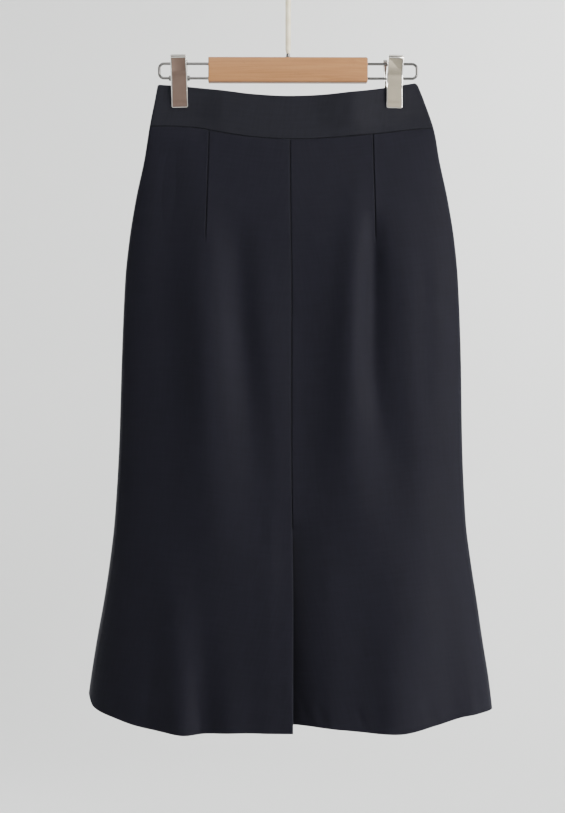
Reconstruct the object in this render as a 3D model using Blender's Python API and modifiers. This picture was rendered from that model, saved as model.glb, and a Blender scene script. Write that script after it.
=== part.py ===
"""A mermaid fishtail skirt hanging from a wooden clip hanger.

+X is to the viewer's right, -Y is the front, +Z is up. The origin is the inside top of the
hook, where it bears on the rail or peg that holds it, so a "drop" is how far a point lies
below that place. Sizes are written in millimetres and turned into metres by MM.
"""

import math
from collections import namedtuple

import bmesh
import bpy
from mathutils import Matrix, Vector

MM = 0.001
GAP = 0.3  # between pieces that touch
ROUND_SIDES = 16

# ---------------------------------------------------------------- cloth sizes
PANEL_WALL = 1.5
BAND_WALL = 2.2
SIDE_ROUND = 2.7  # radius of the cloth where it turns over at a side seam
SIDE_FLAT = 0.8  # the cloth's straight edge beside the seam, before it turns over
PINCH = BAND_WALL + GAP / 2  # half thickness of the doubled band inside a clip

# Horizontal sections of the skirt, a row for each height. left, right and seam are X places,
# front and back are how far the cloth stands off the hanger's plane at the seam.
Section = namedtuple("Section", "drop left right seam front back")
SECTIONS = [
    Section(167, -161.8, 161.0, 0.0, 6.5, 7.0),
    Section(190, -166.1, 170.6, 0.8, 7.5, 8.0),
    Section(225, -173.0, 182.4, 2.5, 11.0, 11.0),
    Section(265, -179.3, 189.3, 2.8, 17.0, 15.0),
    Section(315, -189.8, 200.0, 3.3, 24.0, 21.0),
    Section(365, -197.8, 208.1, 4.0, 29.0, 26.0),
    Section(415, -202.9, 212.9, 5.0, 32.0, 29.0),
    Section(515, -207.0, 216.8, 5.0, 36.0, 32.0),
    Section(615, -209.8, 218.5, 5.2, 40.0, 34.0),
    Section(715, -215.4, 223.1, 6.3, 47.0, 39.0),
    Section(765, -221.0, 229.3, 7.0, 52.0, 43.0),
    Section(815, -228.4, 237.1, 7.5, 58.0, 48.0),
    Section(865, -237.3, 244.5, 7.5, 64.0, 53.0),
    Section(915, -245.0, 252.5, 7.5, 70.0, 58.0),
    Section(970, -252.0, 259.0, 7.5, 75.0, 62.0),
]

# Drops of the band's top edge, the waist seam and the hem, from the left side (-1) through
# the centre seam (0) to the right side (1). The front and the back are cut a little apart.
Edge = namedtuple("Edge", "across top waist hem")
FRONT_EDGES = [
    Edge(-1.00, 171.3, 224.1, 930.0),
    Edge(-0.96, 171.8, 224.0, 944.0),
    Edge(-0.85, 172.8, 223.9, 953.0),
    Edge(-0.70, 175.2, 225.2, 962.0),
    Edge(-0.50, 179.0, 231.8, 967.0),
    Edge(-0.25, 184.0, 238.4, 963.5),
    Edge(0.00, 186.1, 240.9, 963.0),
    Edge(0.25, 184.7, 239.3, 962.5),
    Edge(0.50, 181.0, 235.3, 964.0),
    Edge(0.70, 176.2, 231.0, 957.0),
    Edge(0.85, 171.8, 227.3, 950.5),
    Edge(1.00, 167.5, 225.0, 948.0),
]
BACK_EDGES = [
    Edge(-1.00, 171.3, 224.1, 930.0),
    Edge(-0.96, 172.0, 224.0, 941.0),
    Edge(-0.70, 177.0, 226.0, 952.0),
    Edge(-0.40, 183.5, 234.0, 958.0),
    Edge(0.00, 188.0, 240.9, 960.0),
    Edge(0.40, 184.5, 236.0, 959.0),
    Edge(0.70, 178.0, 230.0, 955.0),
    Edge(1.00, 167.5, 225.0, 948.0),
]
VENT_HEM_RISE = 6.0  # the right front's hem is this much higher beside the vent
VENT_HEM_SHARE = 0.24  # of the half width, over which that dies away

# Folds: ridges stand out (height above 0) and troughs go in, each along its own line.
Knot = namedtuple("Knot", "drop x reach height")
FRONT_FOLDS = {
    "left_dart_ridge": [
        Knot(270, -100, 20, 0), Knot(365, -103, 22, 4.5), Knot(415, -105, 24, 7.0),
        Knot(515, -101, 25, 8.5), Knot(615, -98, 27, 6.5), Knot(715, -91, 30, 4.0),
        Knot(815, -74, 34, 0),
    ],
    "left_inner_trough": [
        Knot(330, -60, 16, 0), Knot(415, -58, 18, -5.0), Knot(515, -51, 19, -6.5),
        Knot(615, -41, 22, -4.5), Knot(715, -33, 26, -1.5), Knot(780, -30, 26, 0),
    ],
    "right_dart_ridge": [
        Knot(280, 84, 16, 0), Knot(365, 82, 18, 4.5), Knot(415, 80, 20, 6.5),
        Knot(515, 80, 24, 7.5), Knot(615, 84, 30, 7.0), Knot(715, 100, 36, 6.0),
        Knot(815, 118, 38, 7.0), Knot(915, 139, 38, 9.0), Knot(970, 140, 38, 9.5),
    ],
    "right_dart_trough": [
        Knot(325, 106, 9, 0), Knot(365, 106, 11, -5.0), Knot(415, 105, 13, -6.5),
        Knot(465, 105, 14, -6.5), Knot(515, 103, 14, -5.0), Knot(600, 112, 16, 0),
    ],
    "right_outer_ridge": [
        Knot(300, 140, 18, 0), Knot(415, 141, 20, 3.0), Knot(515, 141, 22, 3.0),
        Knot(640, 150, 24, 0),
    ],
    "centre_trough": [
        Knot(330, 12, 34, 0), Knot(465, 14, 36, -4.0), Knot(615, 14, 36, -4.0),
        Knot(740, 14, 36, 0),
    ],
    "lower_left_ridge": [
        Knot(740, -142, 20, 0), Knot(865, -134, 19, 4.0), Knot(970, -126, 18, 8.0),
    ],
    "lower_left_trough": [
        Knot(800, -104, 15, 0), Knot(915, -100, 15, -3.5), Knot(970, -98, 15, -5.0),
    ],
    "lower_right_trough": [
        Knot(740, 74, 20, 0), Knot(840, 82, 20, -3.0), Knot(970, 84, 22, -4.0),
    ],
}
BACK_FOLDS = {
    "left_ridge": [
        Knot(330, -92, 24, 0), Knot(465, -94, 27, 6.0), Knot(665, -104, 32, 5.0),
        Knot(865, -120, 34, 7.0), Knot(970, -126, 34, 9.0),
    ],
    "left_trough": [
        Knot(380, -48, 20, 0), Knot(565, -50, 24, -4.5), Knot(865, -66, 28, -5.0),
        Knot(970, -70, 28, -7.0),
    ],
    "centre_ridge": [
        Knot(640, -8, 26, 0), Knot(865, -14, 30, 5.0), Knot(970, -16, 32, 7.0),
    ],
    "right_trough": [
        Knot(380, 58, 20, 0), Knot(565, 60, 24, -4.5), Knot(865, 64, 28, -5.0),
        Knot(970, 66, 28, -6.0),
    ],
    "right_ridge": [
        Knot(330, 98, 24, 0), Knot(465, 100, 27, 5.5), Knot(665, 110, 32, 5.0),
        Knot(865, 132, 36, 7.0), Knot(970, 138, 36, 9.0),
    ],
}
FOLD_SIDE_START = 4.0  # from a side seam, folds start here and are whole at the next
FOLD_SIDE_WHOLE = 42.0

# Darts, stitched from the waist seam to a point; a panel's columns follow the dart's line.
Dart = namedtuple("Dart", "x_at_waist x_at_point point_drop depth")
FRONT_DARTS = {-1: Dart(-98.0, -101.3, 372, 1.0), 1: Dart(105.6, 108.8, 372, 1.0)}
BACK_DARTS = {-1: Dart(-84.0, -80.0, 350, 1.0), 1: Dart(90.0, 86.0, 350, 1.0)}
DART_TOP_DROP = 230.0
DART_FADE = 60.0  # the groove dies away over this length above its point
DART_HALF_WIDTH = 1.6  # of the stitched groove
DART_SPREAD = 8.0  # below the point the three dart columns spread out to this
DART_SPREAD_DROP = 520

# The vent runs up the centre front seam from the hem. The left front laps over it.
VENT_TOP_DROP = 722.0
VENT_HEM_DROP = 965.0
VENT_RECESS_START = 2.8
VENT_RECESS_HEM = 19.0  # how far the right front hangs behind the left one at the hem
VENT_RECESS_REACH = 30.0
VENT_EDGE_LIFT = 3.0  # the left front's free edge curls forward at the hem
UNDERLAP_STEPS = (9.0, 19.0, 30.0)  # columns of the underlap, behind the left front

SIDE_COLUMNS = 9  # from a side seam to the dart
SEAM_COLUMNS = 6  # from the dart to the centre seam
PANEL_ROWS = 26
BAND_ROWS = 5
BAND_COLUMNS = 15  # from a side seam to the centre

# ---------------------------------------------------------------- hanger sizes
HOOK_INSIDE_RADIUS = 18.5
SLEEVE_RADIUS = 3.5
HOOK_TIP_ANGLE = 196
HOOK_EXIT_ANGLE = -55
HOOK_LOOP_STEPS = 22
HOOK_BEND_STEPS = 6
HOOK_TIP_SHARES = [0.55, 0.86]  # the sleeve's radius at its rounded tip
NECK_BEND_RADIUS = 20.0
SLEEVE_TAPER_DROP = 127.0
SLEEVE_END_DROP = 132.2
SLEEVE_END_SHARE = 0.56  # of its radius, at the tapered lower end
NECK_RADIUS = 2.4
NECK_SEAT = 12.0  # the neck goes this deep into the bar

BAR_LENGTH = 199.0
BAR_HEIGHT = 31.0
BAR_DEPTH = 12.0
BAR_TOP_DROP = 137.5
BAR_ROUND = 1.2
BAR_HOLE_CLEAR = 0.35
BAR_HOLE_OVER = 3.0  # how far a cutter runs out of the bar

WIRE_RADIUS = 1.65
WIRE_UPPER_DROP = 145.0
WIRE_LOWER_DROP = 163.1
WIRE_REACH = 161.0
WIRE_CORNER = 6.0
WIRE_CORNER_STEPS = 5
WIRE_SEAT = 14.0  # how deep the bar is drilled for each wire end
WIRE_END_CLEAR = 1.0

JAW_WIDTH = 21.4
JAW_PLATE = 1.2
LEVER_SPREAD = 13.5  # the lever's top stands this far from the hanger's plane
BOWED = 0.9  # a jaw bows out over the cloth by this, between its knee and its tip

# A jaw plate's middle line from the lever's lip down to the tip. up is above the lower wire,
# and out is past the place that "off" names: the hanger's plane, the knee or the tip.
JawBend = namedtuple("JawBend", "off out up")
JAW_LINE = [
    JawBend("plane", LEVER_SPREAD + 1.2, 26.2),
    JawBend("plane", LEVER_SPREAD, 23.7),
    JawBend("knee", 1.6, 7.0),
    JawBend("knee", 0.0, 2.5),
    JawBend("knee", 0.0, -3.0),
    JawBend("tip", BOWED, -12.0),
    JawBend("tip", BOWED, -28.0),
    JawBend("tip", 0.0, -31.5),
    JawBend("tip", 0.0, -37.5),
]

# A row for each clip: its place on the lower wire, how it leans and turns in degrees, and the
# barrel that its jaws turn on. The turned one has a wide bore, because the wire stays straight.
Clip = namedtuple("Clip", "name x lean turn barrel_length barrel_bore barrel_radius")
CLIPS = [
    Clip("clip_left", -135.8, -1.5, 0.0, 26.0, 1.95, 3.2),
    Clip("clip_right", 131.7, -0.7, 10.5, 18.0, 3.85, 4.6),
]
GRIP_HALF = 16.0  # half width of the cloth that lies flat between a clip's jaws
GRIP_FADE = 34.0
GRIP_DROP = 206.0
GRIP_FADE_DROP = 245.0
TURN_SIDE_FADE = 12.0  # a turned clip's pull on the cloth dies away this near a side seam

# ---------------------------------------------------------------- zip sizes
ZIP_SLOT = 1.0  # half of the slot between the back bands, where the slider's neck passes
PULL_DROP = 198.0
PULL_THICKNESS = 1.2
PULL_SIDE = [(2.9, 0.6), (3.1, -2.0), (2.6, -6.5), (2.4, -10.0)]  # its right edge, down
PULL_END_DROP = 19.0  # the middle of its round end, below the hinge line
PULL_END_RADIUS = 3.5
PULL_WINDOW_HALF = 1.3
PULL_STAND_OFF = 1.3  # from the band's outer face to the pull's hinge line
ARCH_HALF_WIDTH = 0.7
ARCH_HALF_HEIGHT = 3.5
ARCH_POST = 1.2
ARCH_CLEAR = 0.95
ARCH_BAR = 1.0
SLIDER_HALF_WIDTH = 3.6
SLIDER_HALF_HEIGHT = 6.0
SLIDER_DEPTH = 3.4
SLIDER_ROUND = 0.8
SLIDER_CLEAR = 2.0  # from the slider down to the tapes
ZIP_BOTTOM_DROP = 400.0
TAPE_CLEAR = 0.45  # from the bands' inner faces to the tapes
TAPE_WIDTH = 12.0
TAPE_WALL = 1.0
COIL_HALF_WIDTH = 2.2
COIL_WALL = 1.4
ZIP_ROWS = 12


# ---------------------------------------------------------------- scene helpers
def clear_scene():
    for thing in list(bpy.data.objects):
        bpy.data.objects.remove(thing, do_unlink=True)


def new_collection(name):
    made = bpy.data.collections.new(name)
    bpy.context.scene.collection.children.link(made)
    return made


def finish_material(name, colour, roughness, metallic=0.0):
    material = bpy.data.materials.new(name)
    material.use_nodes = True
    shader = material.node_tree.nodes["Principled BSDF"]
    shader.inputs["Base Color"].default_value = (*colour, 1.0)
    shader.inputs["Roughness"].default_value = roughness
    shader.inputs["Metallic"].default_value = metallic
    return material


def finish(mesh, material, smooth_angle=None):
    mesh.materials.clear()
    mesh.materials.append(material)
    if smooth_angle is not None:
        mesh.shade_smooth()
        mesh.set_sharp_from_angle(angle=math.radians(smooth_angle))


def add_object(name, mesh, collection, material, smooth_angle=None):
    made = bpy.data.objects.new(name, mesh)
    collection.objects.link(made)
    finish(mesh, material, smooth_angle)
    return made


def mesh_of(thing, name):
    """The evaluated object as a new welded mesh in world space; the object is removed."""
    bpy.context.view_layer.update()
    graph = bpy.context.evaluated_depsgraph_get()
    mesh = bpy.data.meshes.new_from_object(thing.evaluated_get(graph))
    mesh.transform(thing.matrix_world)
    mesh.name = name
    work = bmesh.new()
    work.from_mesh(mesh)
    bmesh.ops.remove_doubles(work, verts=work.verts, dist=0.00001)
    bmesh.ops.recalc_face_normals(work, faces=work.faces)
    work.to_mesh(mesh)
    work.free()
    bpy.data.objects.remove(thing, do_unlink=True)
    return mesh


def wire_curve(name, points, radius, collection, radii=None, resolution=2):
    """A round rod along points (mm), with closed ends."""
    curve = bpy.data.curves.new(name, "CURVE")
    curve.dimensions = "3D"
    curve.bevel_depth = radius * MM
    curve.bevel_resolution = resolution
    curve.use_fill_caps = True
    spline = curve.splines.new("POLY")
    spline.points.add(len(points) - 1)
    for index, place in enumerate(points):
        spline.points[index].co = (*(Vector(place) * MM), 1.0)
        if radii:
            spline.points[index].radius = radii[index]
    made = bpy.data.objects.new(name, curve)
    collection.objects.link(made)
    return made


def flat_curve(name, outlines, half_thickness, collection):
    """A flat plate in the XY plane, from closed outlines (mm); inner outlines are holes."""
    curve = bpy.data.curves.new(name, "CURVE")
    curve.dimensions = "2D"
    curve.fill_mode = "BOTH"
    curve.extrude = half_thickness * MM
    for outline in outlines:
        spline = curve.splines.new("POLY")
        spline.points.add(len(outline) - 1)
        spline.use_cyclic_u = True
        for index, (x, y) in enumerate(outline):
            spline.points[index].co = (x * MM, y * MM, 0.0, 1.0)
    made = bpy.data.objects.new(name, curve)
    collection.objects.link(made)
    return made


def cylinder(name, radius, length, centre, axis, collection):
    """A cylinder (mm) along X or Z, as a cutter or a pin."""
    work = bmesh.new()
    bmesh.ops.create_cone(
        work, cap_ends=True, segments=ROUND_SIDES, radius1=radius * MM, radius2=radius * MM,
        depth=length * MM,
    )
    if axis == "X":
        bmesh.ops.rotate(work, verts=work.verts, matrix=Matrix.Rotation(math.pi / 2, 3, "Y"))
    bmesh.ops.translate(work, verts=work.verts, vec=Vector(centre) * MM)
    mesh = bpy.data.meshes.new(name)
    work.to_mesh(mesh)
    work.free()
    made = bpy.data.objects.new(name, mesh)
    collection.objects.link(made)
    return made


def mark_cutter(thing):
    thing.hide_render = True
    thing.display_type = "WIRE"


def boolean(target, other, operation):
    modifier = target.modifiers.new(operation.title(), "BOOLEAN")
    modifier.operation = operation
    modifier.solver = "EXACT"
    modifier.object = other
    return modifier


# ---------------------------------------------------------------- smooth curves
def read_off(rows, key, field, at):
    """A smooth curve through one column of a table, held level past its ends."""
    places = [getattr(row, key) for row in rows]
    values = [getattr(row, field) for row in rows]
    if at <= places[0]:
        return values[0]
    if at >= places[-1]:
        return values[-1]
    first = max(index for index in range(len(places) - 1) if places[index] <= at)

    def slope(index):
        steps = []
        if index > 0:
            steps.append((values[index] - values[index - 1]) / (places[index] - places[index - 1]))
        if index < len(places) - 1:
            steps.append((values[index + 1] - values[index]) / (places[index + 1] - places[index]))
        if len(steps) == 1:
            return steps[0]
        if steps[0] * steps[1] <= 0:
            return 0.0
        return 2 * steps[0] * steps[1] / (steps[0] + steps[1])

    span = places[first + 1] - places[first]
    t = (at - places[first]) / span
    start_weight = 2 * t**3 - 3 * t**2 + 1
    start_slope = (t**3 - 2 * t**2 + t) * span * slope(first)
    end_slope = (t**3 - t**2) * span * slope(first + 1)
    return (
        start_weight * values[first] + start_slope
        + (1 - start_weight) * values[first + 1] + end_slope
    )


def ease(value, start, end):
    """0 at start, 1 at end, smooth between."""
    t = min(max((value - start) / (end - start), 0.0), 1.0)
    return t * t * (3 - 2 * t)


# ---------------------------------------------------------------- the cloth's form
def section(field, drop):
    return read_off(SECTIONS, "drop", field, drop)


def width_of(half, drop):
    side = section("left" if half < 0 else "right", drop)
    return abs(side - section("seam", drop))


def folds_at(folds, x, drop):
    total = 0.0
    for knots in folds.values():
        if knots[0].drop < drop:
            centre = read_off(knots, "drop", "x", drop)
            reach = read_off(knots, "drop", "reach", drop)
            height = read_off(knots, "drop", "height", drop)
            total += height * math.exp(-(((x - centre) / reach) ** 2))
    return total


def grip_at(x, drop):
    """How firmly a clip holds the band here, and the sideways turn that it gives the cloth."""
    grip, turn = 0.0, 0.0
    for clip in CLIPS:
        off = x - clip.x
        hold = 1 - ease(drop, GRIP_DROP, GRIP_FADE_DROP)
        grip += hold * (1 - ease(abs(off), GRIP_HALF, GRIP_FADE))
        turn += hold * math.tan(math.radians(clip.turn)) * off * (
            1 - ease(abs(off), GRIP_HALF, 2 * GRIP_FADE)
        )
    return grip, turn


def vent_recess(x, drop):
    """How far the right front lies behind the left one beside the vent."""
    if drop < VENT_TOP_DROP:
        return 0.0
    down = ease(drop, VENT_TOP_DROP, VENT_HEM_DROP)
    recess = VENT_RECESS_START + (VENT_RECESS_HEM - VENT_RECESS_START) * down
    away = max(x - section("seam", drop), 0.0)
    return recess * math.exp(-((away / VENT_RECESS_REACH) ** 2))


def vent_lift(x, drop):
    away = (section("seam", drop) - x) / VENT_RECESS_REACH
    return VENT_EDGE_LIFT * ease(drop, VENT_TOP_DROP, VENT_HEM_DROP) * math.exp(-(away**2))


def cloth_point(face, half, swing, drop, dart_groove=0.0):
    """A point of the cloth's outer surface (mm). face is -1 front, 1 back; half is -1 left,
    1 right; swing runs from 0 at the side seam to a quarter turn at the centre seam."""
    wide = width_of(half, drop)
    x = section("seam", drop) + half * wide * math.cos(swing)
    from_side = wide * (1 - math.cos(swing))
    bulge = section("front" if face < 0 else "back", drop)
    around = min(from_side / SIDE_ROUND, 1.0)
    rounding = SIDE_FLAT + (SIDE_ROUND - SIDE_FLAT) * math.sqrt(1 - (1 - around) ** 2)
    depth = rounding + (bulge - SIDE_ROUND) * math.sin(swing)
    folds = FRONT_FOLDS if face < 0 else BACK_FOLDS
    depth += folds_at(folds, x, drop) * ease(from_side, FOLD_SIDE_START, FOLD_SIDE_WHOLE)
    grip, turn = grip_at(x, drop)
    depth += (PINCH - GAP / 2 - depth) * grip
    if face < 0 and half > 0:
        depth -= vent_recess(x, drop)
    if face < 0 and half < 0:
        depth += vent_lift(x, drop)
    depth -= dart_groove
    turn *= ease(from_side, 0, TURN_SIDE_FADE)
    return Vector((x, face * (depth + GAP / 2) + turn, -drop))


def side_edge(face, point):
    """The seam's edge beside the first column: straight in from it, to half of the gap."""
    return Vector((point.x, face * GAP / 2, point.z))


def edge_drop(face, line, across):
    drop = read_off(FRONT_EDGES if face < 0 else BACK_EDGES, "across", line, across)
    if line == "hem" and face < 0 and across > 0:
        drop -= VENT_HEM_RISE * math.exp(-((across / VENT_HEM_SHARE) ** 2))
    return drop


def point_between(face, half, swing, upper, lower, share, trim_top, trim_bottom):
    """A cloth point a share of the way from one edge line to another, trimmed at each."""
    across = half * math.cos(swing)
    top = edge_drop(face, upper, across) + trim_top
    bottom = edge_drop(face, lower, across) - trim_bottom
    return top + (bottom - top) * share


# ---------------------------------------------------------------- walls from grids
def cloth_wall(name, grid, thickness, face, collection, material):
    """A wall behind a grid of outer points, in rows down the garment. None leaves a place
    out, and face is the side that the outer surface looks to."""
    work = bmesh.new()
    verts = [
        [None if point is None else work.verts.new(point * MM) for point in line]
        for line in grid
    ]
    for upper, lower in zip(verts, verts[1:]):
        for column in range(len(upper) - 1):
            corners = [upper[column], upper[column + 1], lower[column + 1], lower[column]]
            if None not in corners:
                work.faces.new(corners)
    work.normal_update()
    facing = sum(cell.normal.y * cell.calc_area() for cell in work.faces)
    if facing * face < 0:
        bmesh.ops.reverse_faces(work, faces=work.faces)
    mesh = bpy.data.meshes.new(name)
    work.to_mesh(mesh)
    work.free()
    wall = add_object(name, mesh, collection, material, 50)
    solidify = wall.modifiers.new("Wall", "SOLIDIFY")
    solidify.thickness = thickness * MM
    solidify.offset = -1
    return wall


# ---------------------------------------------------------------- panels and bands
def dart_line(dart, drop):
    """The dart's place across at this drop, and how far apart its columns stand."""
    fall = (drop - DART_TOP_DROP) / (dart.point_drop - DART_TOP_DROP)
    fall = min(max(fall, 0.0), 1.0)
    x = dart.x_at_waist + (dart.x_at_point - dart.x_at_waist) * fall
    reach = DART_HALF_WIDTH + (DART_SPREAD - DART_HALF_WIDTH) * ease(
        drop, dart.point_drop, DART_SPREAD_DROP
    )
    return x, reach


def swing_at(half, x, drop):
    share = (x - section("seam", drop)) * half / width_of(half, drop)
    return math.acos(min(max(share, -1.0), 1.0))


def panel_columns(half, dart, drop):
    """The swings of a panel's columns at this drop, and the dart's groove on each."""
    x, reach = dart_line(dart, drop)
    outer_swing = swing_at(half, x + half * reach, drop)
    middle_swing = swing_at(half, x, drop)
    inner_swing = swing_at(half, x - half * reach, drop)
    groove = dart.depth * (1 - ease(drop, dart.point_drop - DART_FADE, dart.point_drop))
    columns = [(outer_swing * i / SIDE_COLUMNS, 0.0) for i in range(SIDE_COLUMNS + 1)]
    columns.append((middle_swing, groove))
    rest = math.pi / 2 - inner_swing
    columns += [(inner_swing + rest * i / SEAM_COLUMNS, 0.0) for i in range(SEAM_COLUMNS + 1)]
    return columns


def seam_shift(point, half, gap):
    """Moves a centre seam's edge off the seam line by half of the gap."""
    return Vector((point.x + half * gap, point.y, point.z))


def panel_grid(face, half, dart, underlap=False):
    grid = []
    for row in range(PANEL_ROWS + 1):
        share = row / PANEL_ROWS
        side_drop = point_between(face, half, 0, "waist", "hem", share, GAP / 2, 0)
        centre_drop = point_between(
            face, half, math.pi / 2, "waist", "hem", share, GAP / 2, 0
        )
        middle = (side_drop + centre_drop) / 2
        line = []
        for swing, groove in panel_columns(half, dart, middle):
            drop = point_between(face, half, swing, "waist", "hem", share, GAP / 2, 0)
            line.append(cloth_point(face, half, swing, drop, groove))
        line.insert(0, side_edge(face, line[0]))
        line[-1] = seam_shift(line[-1], half, GAP / 2)
        if underlap:
            line += underlap_points(centre_drop, line[-1])
        grid.append(line)
    return grid


def underlap_points(drop, edge):
    """The right front's extension behind the left front, from the vent's top down."""
    if drop < VENT_TOP_DROP:
        return [None] * len(UNDERLAP_STEPS)
    points = []
    for step in UNDERLAP_STEPS:
        x = edge.x - step
        over = cloth_point(-1, -1, swing_at(-1, x, drop), drop)
        behind = over.y + vent_recess(x, drop) + vent_lift(x, drop)
        points.append(Vector((x, behind, -drop)))
    return points


def band_grid(face, half, centre_gap):
    """A band from its side seam to the centre: rows down, columns across."""
    grid = []
    for row in range(BAND_ROWS + 1):
        share = row / BAND_ROWS
        line = []
        for column in range(BAND_COLUMNS + 1):
            swing = math.pi / 2 * column / BAND_COLUMNS
            drop = point_between(face, half, swing, "top", "waist", share, 0, GAP / 2)
            line.append(cloth_point(face, half, swing, drop))
        line.insert(0, side_edge(face, line[0]))
        line[-1] = seam_shift(line[-1], half, centre_gap)
        grid.append(line)
    return grid


def make_skirt(collection, cloth):
    for half, side in ((-1, "left"), (1, "right")):
        front = panel_grid(-1, half, FRONT_DARTS[half], underlap=half > 0)
        cloth_wall("skirt_front_" + side, front, PANEL_WALL, -1, collection, cloth)
        back = panel_grid(1, half, BACK_DARTS[half])
        cloth_wall("skirt_back_" + side, back, PANEL_WALL, 1, collection, cloth)
        band = band_grid(1, half, ZIP_SLOT)
        cloth_wall("waistband_back_" + side, band, BAND_WALL, 1, collection, cloth)
    left, right = band_grid(-1, -1, 0), band_grid(-1, 1, 0)
    whole = [from_left[:-1] + from_right[::-1] for from_left, from_right in zip(left, right)]
    cloth_wall("waistband_front", whole, BAND_WALL, -1, collection, cloth)


# ---------------------------------------------------------------- zip
def zip_surface(drop, inward, off_centre):
    """A point inside the back, this far in from its outer face."""
    point = cloth_point(1, 1, math.pi / 2, drop)
    return Vector((point.x + off_centre, point.y - inward, -drop))


def zip_strip(name, inward, inner, outer, thickness, collection, material):
    """A strip inside the back from under the slider to the zip's end, inner to outer across."""
    top_drop = PULL_DROP + SLIDER_HALF_HEIGHT + SLIDER_CLEAR
    grid = []
    for row in range(ZIP_ROWS + 1):
        drop = top_drop + (ZIP_BOTTOM_DROP - top_drop) * row / ZIP_ROWS
        grid.append([zip_surface(drop, inward, x) for x in (inner, outer)])
    cloth_wall(name, grid, thickness, 1, collection, material)


def make_zip(collection, tape, metal):
    behind_band = BAND_WALL + TAPE_CLEAR
    for half, side in ((-1, "left"), (1, "right")):
        inner, outer = half * GAP, half * TAPE_WIDTH
        name = "zip_tape_" + side
        zip_strip(name, behind_band, inner, outer, TAPE_WALL, collection, tape)
    behind_tape = behind_band + TAPE_WALL + GAP
    inner, outer = -COIL_HALF_WIDTH, COIL_HALF_WIDTH
    zip_strip("zip_coil", behind_tape, inner, outer, COIL_WALL, collection, tape)

    hinge = zip_surface(PULL_DROP, -PULL_STAND_OFF, 0.0)
    above = zip_surface(PULL_DROP - SLIDER_HALF_HEIGHT, 0, 0)
    below = zip_surface(PULL_DROP + SLIDER_HALF_HEIGHT, 0, 0)
    tilt = math.atan2(below.y - above.y, above.z - below.z)
    place = Matrix.Translation(hinge * MM) @ Matrix.Rotation(tilt, 4, "X")
    add_slider(collection, metal, place)
    add_pull(collection, metal, place)


def add_slider(collection, metal, place):
    """A body inside the band, with a neck through the slot that carries an arch outside."""
    inside = -(PULL_STAND_OFF + BAND_WALL + 2 * GAP)
    top, bar = ARCH_HALF_HEIGHT, ARCH_CLEAR + ARCH_BAR
    outline = [(inside - 1, -top), (bar, -top), (bar, top), (inside - 1, top)]
    window = [
        (-ARCH_CLEAR, ARCH_POST - top), (ARCH_CLEAR, ARCH_POST - top),
        (ARCH_CLEAR, top - ARCH_POST), (-ARCH_CLEAR, top - ARCH_POST),
    ]
    arch = flat_curve("arch", [outline, window], ARCH_HALF_WIDTH, collection)
    mesh = mesh_of(arch, "arch")
    # the outline's X and Y become the slider's Y and Z, and its thickness lies along X
    mesh.transform(Matrix(((0, 0, 1, 0), (1, 0, 0, 0), (0, 1, 0, 0), (0, 0, 0, 1))))
    slider = add_object("zip_slider", mesh, collection, metal)
    slider.matrix_world = place
    work = bmesh.new()
    bmesh.ops.create_cube(work, size=1.0)
    size = Vector((2 * SLIDER_HALF_WIDTH, SLIDER_DEPTH, 2 * SLIDER_HALF_HEIGHT)) * MM
    bmesh.ops.scale(work, verts=work.verts, vec=size)
    bmesh.ops.bevel(
        work, geom=list(work.edges), offset=SLIDER_ROUND * MM, segments=2, affect="EDGES"
    )
    middle = Vector((0, inside - SLIDER_DEPTH / 2, 0)) * MM
    bmesh.ops.translate(work, verts=work.verts, vec=middle)
    body_mesh = bpy.data.meshes.new("slider_body")
    work.to_mesh(body_mesh)
    work.free()
    body = bpy.data.objects.new("slider_body", body_mesh)
    bpy.data.collections["cutters"].objects.link(body)
    body.matrix_world = place
    mark_cutter(body)
    boolean(slider, body, "UNION")


def add_pull(collection, metal, place):
    """The pull tab, hanging from the arch by the crossbar over its window."""
    half_bar = PULL_THICKNESS / 2
    turns = [math.radians(angle) for angle in range(20, -201, -20)]
    outline = PULL_SIDE + [
        (PULL_END_RADIUS * math.cos(a), PULL_END_RADIUS * math.sin(a) - PULL_END_DROP)
        for a in turns
    ]
    outline += [(-across, up) for across, up in reversed(PULL_SIDE)]
    wide, foot = PULL_WINDOW_HALF, -(ARCH_HALF_HEIGHT + ARCH_CLEAR)
    window = [(-wide, -half_bar), (wide, -half_bar), (wide, foot), (-wide, foot)]
    plate = flat_curve("pull", [outline, window], half_bar, collection)
    mesh = mesh_of(plate, "zip_pull")
    mesh.transform(Matrix.Rotation(math.pi / 2, 4, "X"))
    pull = add_object("zip_pull", mesh, collection, metal)
    pull.matrix_world = place


# ---------------------------------------------------------------- hanger
def arc(centre, radius, start, end, steps):
    """Points in the XZ plane, angles in degrees from +X towards +Z."""
    turns = [math.radians(start + (end - start) * i / steps) for i in range(steps + 1)]
    return [
        (centre[0] + radius * math.cos(a), 0.0, centre[1] + radius * math.sin(a)) for a in turns
    ]


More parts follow.
